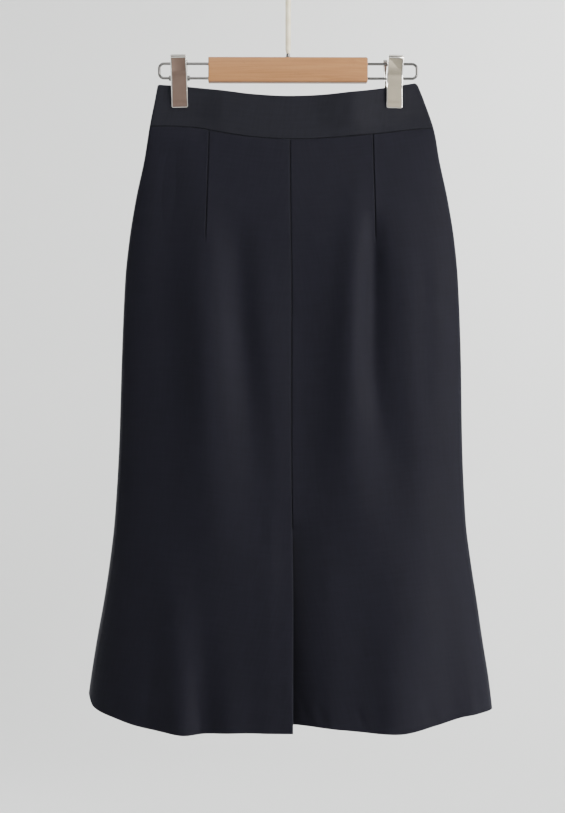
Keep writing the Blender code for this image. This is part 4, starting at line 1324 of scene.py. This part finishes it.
def add_ears(spring, clip):
    """Two rolled knobs at the ends of the coil, each turned from a ring."""
    for side in (-1, 1):
        outer = side * clip.barrel_length / 2
        nothing_selected()
        bpy.ops.mesh.primitive_cylinder_add(
            vertices=EAR_SIDES, radius=clip.barrel_radius * MM, depth=EAR_LENGTH * MM,
            location=(0, 0, (outer - side * EAR_LENGTH / 2) * MM),
        )
        ear = added("ear")
        start, inwards = Vector((0, 0, outer * MM)), Vector((0, 0, -side))
        drill(ear, start, inwards, clip.barrel_bore * MM, EAR_BORE_DEPTH * MM)
        edit(ear)
        bevelled(ear, is_corner, EAR_ROUND * MM, 3)
        close_up()
        only(spring)
        ear.select_set(True)
        bpy.ops.object.join()


springs = {clip.name + "_barrel": make_spring(clip) for clip in CLIPS}
for spring in springs.values():
    report(spring)

# %% [markdown]
# ## The zip
#
# A hidden zip closes the centre back. From outside only its pull tab shows, with the slider's
# arch that carries it; the tapes and the coil lie inside. The slider and the pull already
# have their shape in the frame, so copies of them are merged and their edges softened. The
# tapes are strips that follow the back's inner side, and the coil is a fine spiral.

# %% Slider and pull from the frame's own shapes
METAL_ARRIS = 0.22
COPY_MERGE = 0.005 * MM
FLAT_WITHIN = 1.5


def softened_copy(node, name):
    """A merged copy of a frame piece with its sharp edges rounded."""
    piece = linked(name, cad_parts[node].data.copy())
    piece.data.name = name
    piece.data.materials.clear()
    for face in piece.data.polygons:
        face.material_index = 0
    edit(piece)
    pick_all()
    bpy.ops.mesh.remove_doubles(threshold=COPY_MERGE)
    bpy.ops.mesh.dissolve_limited(angle_limit=math.radians(FLAT_WITHIN))
    close_up()
    rounded(piece, METAL_ARRIS * MM, 35)
    smooth(piece, 40)
    return piece


slider = softened_copy("zip_slider", "slider")
pull = softened_copy("zip_pull", "pull")
for piece in (slider, pull):
    report(piece)

# %% Tapes
TAPE_TOP_DROP = 206.0
ZIP_BOTTOM_DROP = 400.0
TAPE_CLEAR = 0.45
TAPE_WIDTH = 12.0
TAPE_WALL = 0.8
TAPE_SELVEDGE = 0.18
TAPE_COLUMNS = 9
TAPE_ROWS = 60
BEHIND_BAND = BAND_WALL + TAPE_CLEAR


def zip_points(drop, inward, across):
    """Places inside the back, this far in from its outer side at the centre seam."""
    centre = cloth_points(1, 1, np.full(np.shape(drop), math.pi / 2), drop)
    return np.stack([centre[..., 0] + across, centre[..., 1] - inward, -drop], axis=-1)


def make_tape(name, half):
    drop = np.linspace(TAPE_TOP_DROP, ZIP_BOTTOM_DROP, TAPE_ROWS)[:, None]
    across = half * np.linspace(GAP, TAPE_WIDTH, TAPE_COLUMNS)[None, :]
    outer = zip_points(drop + 0 * across, BEHIND_BAND, across)
    selvedge = TAPE_SELVEDGE * np.cos(np.linspace(0, 2 * math.pi, TAPE_COLUMNS))[None, :]
    inner = outer.copy()
    inner[..., 1] -= TAPE_WALL + selvedge
    return shell(name, outer, inner, 1)


tapes = {"zip_tape_left": make_tape("tape_left", -1), "zip_tape_right": make_tape("tape_right", 1)}
for tape in tapes.values():
    report(tape)

# %% Coil
COIL_HALF_WIDTH = 2.2
COIL_PITCH = 1.3
COIL_WIRE = 0.26
COIL_DEPTH = 0.42
COIL_POINTS = 10
COIL_START, COIL_SHORTER = 0.6, 1.0
COIL_BEHIND_TAPE = 2.0


def make_zip_coil(name):
    """Two fine spirals side by side, half a pitch apart, as their teeth lock."""
    curve = bpy.data.curves.new(name, "CURVE")
    curve.dimensions = "3D"
    curve.bevel_depth = COIL_WIRE * MM
    curve.bevel_resolution = 1
    curve.use_fill_caps = True
    turns = int((ZIP_BOTTOM_DROP - TAPE_TOP_DROP - COIL_SHORTER) / COIL_PITCH)
    step = np.arange(turns * COIL_POINTS)
    angle = step * 2 * math.pi / COIL_POINTS
    inward = BEHIND_BAND + COIL_BEHIND_TAPE + COIL_DEPTH * np.sin(angle)
    reach = (COIL_HALF_WIDTH - COIL_WIRE) / 2
    for half in (-1, 1):
        drop = TAPE_TOP_DROP + COIL_START + (step / COIL_POINTS + half / 4 + 0.25) * COIL_PITCH
        points = zip_points(drop, inward, (half + np.cos(angle)) * reach) * MM
        spline = curve.splines.new("POLY")
        spline.points.add(len(points) - 1)
        spline.points.foreach_set("co", np.c_[points, np.ones(len(points))].ravel())
    only(linked(name, curve))
    bpy.ops.object.convert(target="MESH")
    coil = bpy.context.object
    edit(coil)
    close_up()
    coil.data.shade_smooth()
    return coil


zip_coil = make_zip_coil("coil")
report(zip_coil)

# %% [markdown]
# ## Writing materials as sums
#
# A procedural material is a picture drawn by arithmetic: stripes are sines, grain is noise
# that has been stretched, wear is a mask. Wiring hundreds of nodes by hand hides that
# arithmetic. So one small class wraps a node's output and turns +, -, * and / into Math nodes,
# and one method adds every other kind of node.

# %% Sums of node outputs
MIX_FACTOR, MIX_FIRST, MIX_SECOND, MIX_RESULT = 0, 6, 7, 2
OBJECT_PLACE = 3


def feed(node, values):
    """Links or sets a node's inputs: a Signal is linked and anything else is set."""
    for name, value in dict(values).items():
        if isinstance(value, Signal):
            value.tree.links.new(value.socket, node.inputs[name])
        else:
            node.inputs[name].default_value = value


class Signal:
    """One output of a material's nodes."""

    def __init__(self, tree, socket):
        self.tree = tree
        self.socket = socket

    def node(self, kind, settings=(), values=(), output=0):
        """Adds a node: its settings first, then the values or links of its inputs."""
        made = self.tree.nodes.new(kind)
        for name, value in dict(settings).items():
            setattr(made, name, value)
        feed(made, values)
        return Signal(self.tree, made.outputs[output])

    def sum(self, operation, *values):
        return self.node("ShaderNodeMath", {"operation": operation}, dict(enumerate(values)))

    def wave(self, width):
        """From -1 to 1 and back in every width."""
        return self.sum("SINE", self * (2 * math.pi / width))

    def size(self):
        return self.sum("ABSOLUTE", self)

    def between(self, low, high):
        """0 below low, 1 above high, smooth between."""
        values = {"Value": self, "From Min": low, "From Max": high}
        return self.node("ShaderNodeMapRange", {"interpolation_type": "SMOOTHSTEP"}, values)


def add_operator(name, operation):
    setattr(Signal, f"__{name}__", lambda self, other: self.sum(operation, self, other))
    setattr(Signal, f"__r{name}__", lambda self, other: self.sum(operation, other, self))


OPERATORS = {"add": "ADD", "sub": "SUBTRACT", "mul": "MULTIPLY", "truediv": "DIVIDE"}
for name, operation in OPERATORS.items():
    add_operator(name, operation)
print("operators ready:", [name for name in vars(Signal) if name.startswith("__r")])


# %% Starting a material, and its commonest nodes
def new_material(name, uv_map=None):
    """A material, its Principled shader, and where on the piece a point is: its object
    coordinates, or its own map."""
    material = bpy.data.materials.new(name)
    material.use_nodes = True
    start = Signal(material.node_tree, None)
    if uv_map:
        place = start.node("ShaderNodeUVMap", {"uv_map": uv_map})
    else:
        place = start.node("ShaderNodeTexCoord", output=OBJECT_PLACE)
    return material, material.node_tree.nodes["Principled BSDF"], place


def apart(place):
    parts = place.node("ShaderNodeSeparateXYZ", {}, {0: place})
    return [Signal(place.tree, output) for output in parts.socket.node.outputs]


def stretched(place, *scales):
    return place.node("ShaderNodeVectorMath", {"operation": "MULTIPLY"}, {0: place, 1: scales})


def noise(place, scale, detail=2.0, roughness=0.5):
    values = {"Vector": place, "Scale": scale, "Detail": detail, "Roughness": roughness}
    return place.node("ShaderNodeTexNoise", {}, values)


def grain(place, scales, detail=2.0, roughness=0.5):
    """Noise with its own scale along each axis."""
    return noise(stretched(place, *scales), 1.0, detail, roughness)


def mixed(factor, first, second):
    """A colour between two colours; each is a plain colour or a Signal."""
    first, second = (tone if isinstance(tone, Signal) else (*tone, 1.0) for tone in (first, second))
    values = {MIX_FACTOR: factor, MIX_FIRST: first, MIX_SECOND: second}
    return factor.node("ShaderNodeMix", {"data_type": "RGBA"}, values, MIX_RESULT)


def bumped(height, distance):
    values = {"Height": height, "Distance": distance * MM, "Strength": 1.0}
    return height.node("ShaderNodeBump", {}, values)


# %% [markdown]
# ## Suiting
#
# The cloth is a smooth, nearly black suiting with a breath of navy. It is a fine twill: the
# ridges run diagonally, about half a millimetre apart, over threads that vary a little in
# thickness. Close up the twill shows as relief; from a step away it only softens the gloss,
# and what shows is the yarns' faint streaks, both ways. A trace of sheen stands for the pale
# bloom of fibre ends seen edge-on. The seams, and the right front under the vent's lap, are
# darkened with painted shade.

# %% Suiting material
TWILL_WIDTH = 0.55 * MM
THREAD_WIDTH = 0.32 * MM
TWILL_HEIGHT = 0.045
STREAK_RANGE = (0.36, 0.64)
# How strongly painted shade darkens the cloth in its seams; the near black that it darkens towards
# is the last colour below.
PAINTED_SHADE_STRENGTH = 0.90
DARK_THREAD, LIGHT_THREAD = (0.0036, 0.0034, 0.0066), (0.0067, 0.0064, 0.0114)
RIDGE_TOP, PAINTED_SHADE_TONE = (0.0097, 0.0094, 0.0154), (0.0006, 0.0006, 0.0008)


def suiting(name, gain):
    """gain is how much lighter than the plain cloth it is in red, green and blue: painted light
    on the band, whose stiffened face is flatter."""
    material, shader, place = new_material(name, "cloth")
    across, down, _ = apart(place)
    ridge = (across + down).wave(TWILL_WIDTH) * 0.5 + 0.5
    warp, weft = across.wave(THREAD_WIDTH).size(), down.wave(THREAD_WIDTH).size()
    slub = grain(place, (900.0, 45.0, 1.0), 3.0)
    pick_slub = grain(place, (40.0, 800.0, 1.0), 3.0)
    cloud = noise(place, 14.0, 3.0)
    streak = grain(place, (340.0, 26.0, 1.0)).between(*STREAK_RANGE)
    cross_streak = grain(place, (22.0, 300.0, 1.0)).between(*STREAK_RANGE)
    fuzz = noise(place, 2600.0)

    dark, light, ridge_top = (
        [part * more for part, more in zip(tone, gain)]
        for tone in (DARK_THREAD, LIGHT_THREAD, RIDGE_TOP)
    )
    thread = slub * 0.50 + pick_slub * 0.42 + cloud * 0.30 + streak * 0.30 + cross_streak * 0.24
    cloth = mixed(thread - 0.41, dark, light)
    cloth = mixed(ridge * 0.22 + fuzz * 0.12, cloth, ridge_top)
    # Painted shade: the attribute from the mesh darkens the cloth in its seams and under the vent's
    # lap.
    shade = place.node("ShaderNodeAttribute", {"attribute_name": "shade"}, output=2)
    height = ridge * 0.6 + warp * 0.2 + weft * 0.2 + slub * 0.35 + fuzz * 0.25
    feed(shader, {
        "Base Color": mixed(shade * PAINTED_SHADE_STRENGTH, cloth, PAINTED_SHADE_TONE),
        "Roughness": 0.70 + cloud * 0.10 - ridge * 0.06,
        "Normal": bumped(height, TWILL_HEIGHT), "Specular IOR Level": 0.10,
        "Sheen Weight": 0.05, "Sheen Roughness": 0.45, "Sheen Tint": (0.80, 0.84, 1.0, 1.0),
    })
    return material


panel_material = suiting("suiting", (1.0, 1.0, 1.0))
# The band has the same suiting made lighter: painted light for its flatter, stiffened face.
band_material = suiting("band_suiting_with_painted_light", (1.41, 1.48, 1.20))
print("nodes in the suiting:", len(panel_material.node_tree.nodes))

# %% [markdown]
# ## Beech
#
# Beech is pale and close-grained. Along the bar it shows long, fine, slightly wandering
# streaks, and the short dark dashes that joiners know it by. The arrises are darker, partly
# from handling wear and partly from painted shade, and the underside is darker still with
# painted shade. The grain, streaks and dashes are noise squeezed across the grain and
# stretched along it.

# %% Beech material
PALE_BEECH, WARM_BEECH = (0.342, 0.160, 0.053), (0.256, 0.107, 0.032)
BROAD_BEECH, BROWN_BEECH = (0.300, 0.134, 0.044), (0.142, 0.052, 0.015)


def beech():
    material, shader, place = new_material("beech")
    low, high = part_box("hanger_bar")
    _, _, up = apart(place)
    wander = grain(place, (6.0, 20.0, 20.0))
    wavy = place.node("ShaderNodeVectorMath", {"operation": "ADD"}, {
        0: stretched(place, 9.0, 420.0, 420.0), 1: wander * 7.0,
    })
    streak = noise(wavy, 1.0, 5.0, 0.62)
    fine = grain(place, (40.0, 2600.0, 2600.0), 3.0, 0.6)
    dashes = grain(place, (190.0, 1500.0, 1500.0), 1.0).between(0.66, 0.74)
    broad = grain(place, (2.5, 30.0, 30.0))

    # Arrises darker, partly as handling wear and partly as painted shade; the underside gets more
    # painted shade.
    half = (high.z - low.z) / 2
    off = up - (low.z + high.z) / 2
    worn_and_shaded_arris = (off.size() / half).between(0.88, 1.0)
    painted_under_shade = (off / -half).between(0.86, 1.0)
    wood = mixed(streak.between(0.30, 0.72), PALE_BEECH, WARM_BEECH)
    wood = mixed(broad * 0.5, wood, BROAD_BEECH)
    wood = mixed(fine.between(0.35, 0.8) * 0.25, wood, WARM_BEECH)
    wood = mixed(dashes * 0.45, wood, BROWN_BEECH)
    feed(shader, {
        "Base Color": mixed(worn_and_shaded_arris * 0.18 + painted_under_shade * 0.40, wood, BROWN_BEECH),
        "Roughness": 0.42 + fine * 0.16 + dashes * 0.1,
        "Normal": bumped(streak * 0.5 + fine * 0.6 - dashes * 0.6, 0.06),
        "Coat Roughness": 0.25, "Coat Weight": 0.12,
    })
    return material


bar_material = beech()
print("nodes in the beech:", len(bar_material.node_tree.nodes))

# %% [markdown]
# ## Nickel, sleeve and zip finishes
#
# The clips are nickel-plated, brushed along their length and rubbed in places. The right
# clip's front plate has the plain nickel; the other plates are the same nickel with a darker,
# browner reflection painted into their colour. Round each plate the raised rim has a brighter
# copy of the nickel, a painted highlight, and the groove inside it is dark. The wires, springs
# and neck are smoother, and their nickel is darkened with a painted dark reflection. The
# hook's sleeve is a cream plastic tube, and the zip's metal is enamelled black.

# %% Metal and plastic materials
def brushed_nickel(name, along, colour, roughness, brush, edge=1.0):
    """along is the axis that the brushing runs along; brush is how strong it is; edge is how
    bright the metal stays where it curves away."""
    material, shader, place = new_material(name)
    scales = [2400.0, 2400.0, 2400.0]
    scales[along] = 60.0
    lines = grain(place, scales, 3.0, 0.6)
    rubbed = noise(place, 90.0, 3.0)
    worn = noise(place, 420.0).between(0.55, 0.8)
    dull = [part * 0.80 for part in colour]
    feed(shader, {
        "Base Color": mixed(rubbed * 0.6 + lines * 0.3, colour, dull),
        "Roughness": roughness + lines * brush + rubbed * 0.10 + worn * 0.05,
        "Normal": bumped(lines * brush * 4.0 + rubbed * 0.3, 0.02),
        "Metallic": 1.0, "Specular Tint": (edge, edge, edge, 1.0),
    })
    return material


def cream_sleeve():
    material, shader, place = new_material("cream_sleeve")
    cloud = noise(place, 60.0, 3.0)
    peel = noise(place, 1400.0)
    colour = mixed(cloud.between(0.3, 0.75), (0.740, 0.680, 0.520), (0.640, 0.570, 0.400))
    feed(shader, {
        "Base Color": colour, "Roughness": 0.38 + cloud * 0.14,
        "Normal": bumped(peel * 0.4 + cloud * 0.6, 0.05), "Subsurface Weight": 0.05,
    })
    return material


def enamel():
    material, shader, place = new_material("black_enamel")
    peel = noise(place, 1800.0)
    chips = noise(place, 520.0, 4.0, 0.65).between(0.62, 0.70)
    feed(shader, {
        "Base Color": mixed(chips * 0.5, (0.012, 0.012, 0.015), (0.10, 0.10, 0.105)),
        "Metallic": 0.35 + chips * 0.5, "Roughness": 0.30 + peel * 0.12 + chips * 0.15,
        "Normal": bumped(peel, 0.015),
    })
    return material


def tape_weave():
    material, shader, place = new_material("tape_weave", "cloth")
    across, down, _ = apart(place)
    weave = (down.wave(0.6 * MM) * 0.5 + 0.5) * (across.wave(0.5 * MM) * 0.5 + 0.5)
    fuzz = noise(place, 2200.0)
    feed(shader, {
        "Base Color": mixed(weave * 0.7 + fuzz * 0.3, (0.009, 0.009, 0.012), (0.022, 0.022, 0.028)),
        "Roughness": 0.72 + fuzz * 0.15, "Normal": bumped(weave + fuzz * 0.3, 0.08),
        "Sheen Weight": 0.1,
    })
    return material


def coil_plastic():
    material, shader, place = new_material("coil_plastic")
    haze = noise(place, 900.0)
    feed(shader, {
        "Base Color": mixed(haze, (0.010, 0.010, 0.012), (0.020, 0.020, 0.024)),
        "Roughness": 0.34 + haze * 0.12, "Normal": bumped(haze, 0.02),
    })
    return material


clip_nickel = brushed_nickel("clip_nickel", 2, (0.295, 0.264, 0.205), 0.30, 0.12)
# Painted reflection: the same nickel, darker and browner, for the plates that reflect dark brown
# surroundings.
nickel_with_painted_brown_reflection = brushed_nickel("nickel_with_painted_brown_reflection", 2, (0.205, 0.143, 0.117), 0.34, 0.14)
# Painted highlight: a brighter copy of the nickel for the plates' raised rims.
nickel_with_painted_highlight = brushed_nickel("nickel_with_painted_highlight", 2, (0.82, 0.79, 0.74), 0.14, 0.05)
groove_nickel = brushed_nickel("groove_nickel", 2, (0.050, 0.042, 0.038), 0.45, 0.10)
# Painted reflection: the wires' nickel is darkened to stand in for the dark surroundings that it
# reflects.
wire_nickel = brushed_nickel("wire_nickel", 0, (0.185, 0.178, 0.172), 0.14, 0.05, edge=0.05)
sleeve_material = cream_sleeve()
enamel_material = enamel()
tape_material = tape_weave()
coil_material = coil_plastic()
print("materials:", sorted(material.name for material in bpy.data.materials))

# %% [markdown]
# ## Handing over the pieces
#
# Every piece rides on a body of the frame and takes its material, and the frame piece that
# it stands for is hidden. The size that each sheet of cloth was cut to is printed. That size
# is read off the form, because cloth that only bends keeps its lengths: the width is the
# longest row of the panel's grid, the length is its longest column, and the area is the sum
# of its faces, seen once.

# %% Hand over the pieces
def hand_over(piece, materials, node, body=BODY):
    for material in materials:
        piece.data.materials.append(material)
    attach(piece, body)
    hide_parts(node)


FINISHES = [
    (panels, panel_material, "suiting"),
    (bands, band_material, "suiting"),
    (tapes, tape_material, "zip_tape"),
    ({"zip_coil": zip_coil}, coil_material, "zip_tape"),
    ({"zip_slider": slider}, enamel_material, "zip_metal"),
    ({"hanger_bar": bar}, bar_material, "beech"),
    ({"hook_sleeve": hook}, sleeve_material, "hook_sleeve"),
    ({"hook_neck": neck, **wires, **springs}, wire_nickel, "nickel"),
]
for pieces, material, slot_name in FINISHES:
    for node, piece in pieces.items():
        hand_over(piece, [material], node)
hand_over(pull, [enamel_material], "zip_pull", PULL_BODY)
for node, piece in jaws.items():
    # The right front plate gets the plain nickel, and the others get the nickel with a painted
    # brown reflection.
    plate_material = clip_nickel if node == "clip_right_front_jaw" else nickel_with_painted_brown_reflection
    hand_over(piece, [plate_material, nickel_with_painted_highlight, groove_nickel], node)


# %% Cut sizes
def cut_size(piece):
    """The width, length and area that a shell's cloth was cut to, in metres."""
    mesh = piece.data
    place = np.zeros(len(mesh.loops) * 2)
    mesh.uv_layers["cloth"].data.foreach_get("uv", place)
    width, length = np.ptp(place.reshape(-1, 2), axis=0)
    area = sum(face.area for face in mesh.polygons) / 2
    return float(width), float(length), float(min(area, width * length))


for node, piece in {**panels, **bands, **tapes}.items():
    width, length, area = cut_size(piece)
    print(f"{piece.name}: {width:.3f} x {length:.3f} m, {area:.4f} square metres")

# %% [markdown]
# ## Room, light and camera
#
# The room is one turned shape: a pale floor that curves up into a pale wall all round, so
# that any view of the skirt has a plain background. The main light is a large soft window to
# the right and in front, which lights the flanks of the folds that face it and leaves the
# others dark. Weaker lamps fill the left side, the band and the top, one lights the back from
# behind, and two light the wall.

# %% Backdrop
FLOOR = -1.9
ROOM_RADIUS = 4.6
ROOM_CORNER = 1.3
ROOM_TOP = 3.2
ROOM_DISC = 0.4
ROOM_SIDES = 96
ROOM_STEPS = 12


def make_room():
    """A profile from the middle of the floor out and up, turned about the hanger's axis."""
    nothing_selected()
    bpy.ops.mesh.primitive_circle_add(
        vertices=ROOM_SIDES, radius=ROOM_DISC, fill_type="TRIFAN", location=(0, 0, FLOOR)
    )
    room = added("room")
    edit(room)
    pick(room, "EDGE", lambda edge: len(edge.link_faces) == 1)
    turns = [math.pi / 2 * step / ROOM_STEPS for step in range(ROOM_STEPS + 1)]
    profile = [
        (ROOM_RADIUS - ROOM_CORNER * (1 - math.sin(turn)), ROOM_CORNER * (1 - math.cos(turn)))
        for turn in turns
    ]
    radius, height = ROOM_DISC, 0.0
    for next_radius, next_height in [*profile, (ROOM_RADIUS, ROOM_TOP - FLOOR)]:
        draw_on((0, 0, next_height - height))
        share = next_radius / radius
        bpy.ops.transform.resize(value=(share, share, 1), center_override=(0, 0, FLOOR))
        radius, height = next_radius, next_height
    close_up(0.1 * MM, inside=True)
    room.data.shade_smooth()
    return room


def plaster():
    material, shader, place = new_material("pale_plaster")
    feed(shader, {
        "Base Color": mixed(noise(place, 1.3, 3.0), (0.79, 0.80, 0.795), (0.83, 0.835, 0.83)),
        "Roughness": 0.9, "Specular IOR Level": 0.1,
    })
    return material


room = make_room()
room.data.materials.append(plaster())
report(room)

# %% World and lights
AIM = (0.0, 0.0, -0.54)
BAND_AIM = (0.0, 0.0, -0.22)
Lamp = namedtuple("Lamp", "name aim place width height power colour")
LAMPS = [
    Lamp("window", AIM, (2.46, -1.45, 0.12), 1.36, 2.04, 182.0, (1.0, 0.985, 0.97)),
    Lamp("left_fill", AIM, (-2.6, -2.0, 0.4), 1.8, 1.8, 3.0, (0.94, 0.97, 1.0)),
    Lamp("over_band", BAND_AIM, (-0.15, -0.42, 0.36), 0.45, 0.45, 2.8, (0.98, 1.0, 1.0)),
    Lamp("above", AIM, (0.3, -0.2, 2.6), 2.6, 2.6, 22.0, (1.0, 1.0, 1.0)),
    Lamp("behind", AIM, (-2.3, 2.2, 0.2), 1.6, 2.2, 85.0, (0.98, 0.99, 1.0)),
    Lamp("wall_left", (-1.2, 4.6, 0.7), (-1.4, 1.6, 1.4), 1.6, 1.6, 6.0, (1.0, 1.0, 0.98)),
    Lamp("wall_right", (1.6, 4.6, 0.6), (1.8, 1.6, 1.2), 1.6, 1.6, 160.0, (1.0, 1.0, 0.99)),
]
WORLD_COLOUR = (0.92, 0.93, 0.93)
WORLD_STRENGTH = 0.15


def add_lamp(lamp):
    light = bpy.data.lights.new(lamp.name, "AREA")
    light.shape = "RECTANGLE"
    light.size, light.size_y = lamp.width, lamp.height
    light.energy, light.color = lamp.power, lamp.colour
    made = linked(lamp.name, light)
    made.location = lamp.place
    facing = Vector(lamp.aim) - Vector(lamp.place)
    made.rotation_euler = facing.to_track_quat("-Z", "Y").to_euler()
    made.visible_camera = False


world = bpy.data.worlds.new("soft_room")
world.use_nodes = True
background = world.node_tree.nodes["Background"]
feed(background, {"Color": (*WORLD_COLOUR, 1.0), "Strength": WORLD_STRENGTH})
bpy.context.scene.world = world
for lamp in LAMPS:
    add_lamp(lamp)
print("lamps:", [lamp.name for lamp in LAMPS])

# %% Camera
FRAME_HEIGHT_PIXELS = 813
PIXEL = 1.25
CAMERA_AWAY = 1746.0
CAMERA_X = -6.1
CAMERA_DROP = 533.8
CAMERA_SEES = (0.05, 40.0)
SENSOR = 36.0
HORIZON_SHIFT = -31.5
CAMERA_ROLL = -0.12


def add_camera():
    """Level with the middle of the skirt, so its sides stay upright; the lens is shifted down
    to take in the hem."""
    data = bpy.data.cameras.new("camera")
    data.sensor_width = SENSOR
    data.lens = SENSOR * CAMERA_AWAY / (FRAME_HEIGHT_PIXELS * PIXEL)
    data.shift_y = HORIZON_SHIFT / FRAME_HEIGHT_PIXELS
    data.clip_start, data.clip_end = CAMERA_SEES
    made = linked("camera", data)
    made.location = Vector((CAMERA_X, -CAMERA_AWAY, -CAMERA_DROP)) * MM
    made.rotation_euler = (math.pi / 2, math.radians(CAMERA_ROLL), 0.0)
    bpy.context.scene.camera = made
    return made


camera = add_camera()
print("lens:", round(camera.data.lens, 1), "mm")

# %% Finish
bpy.context.view_layer.update()
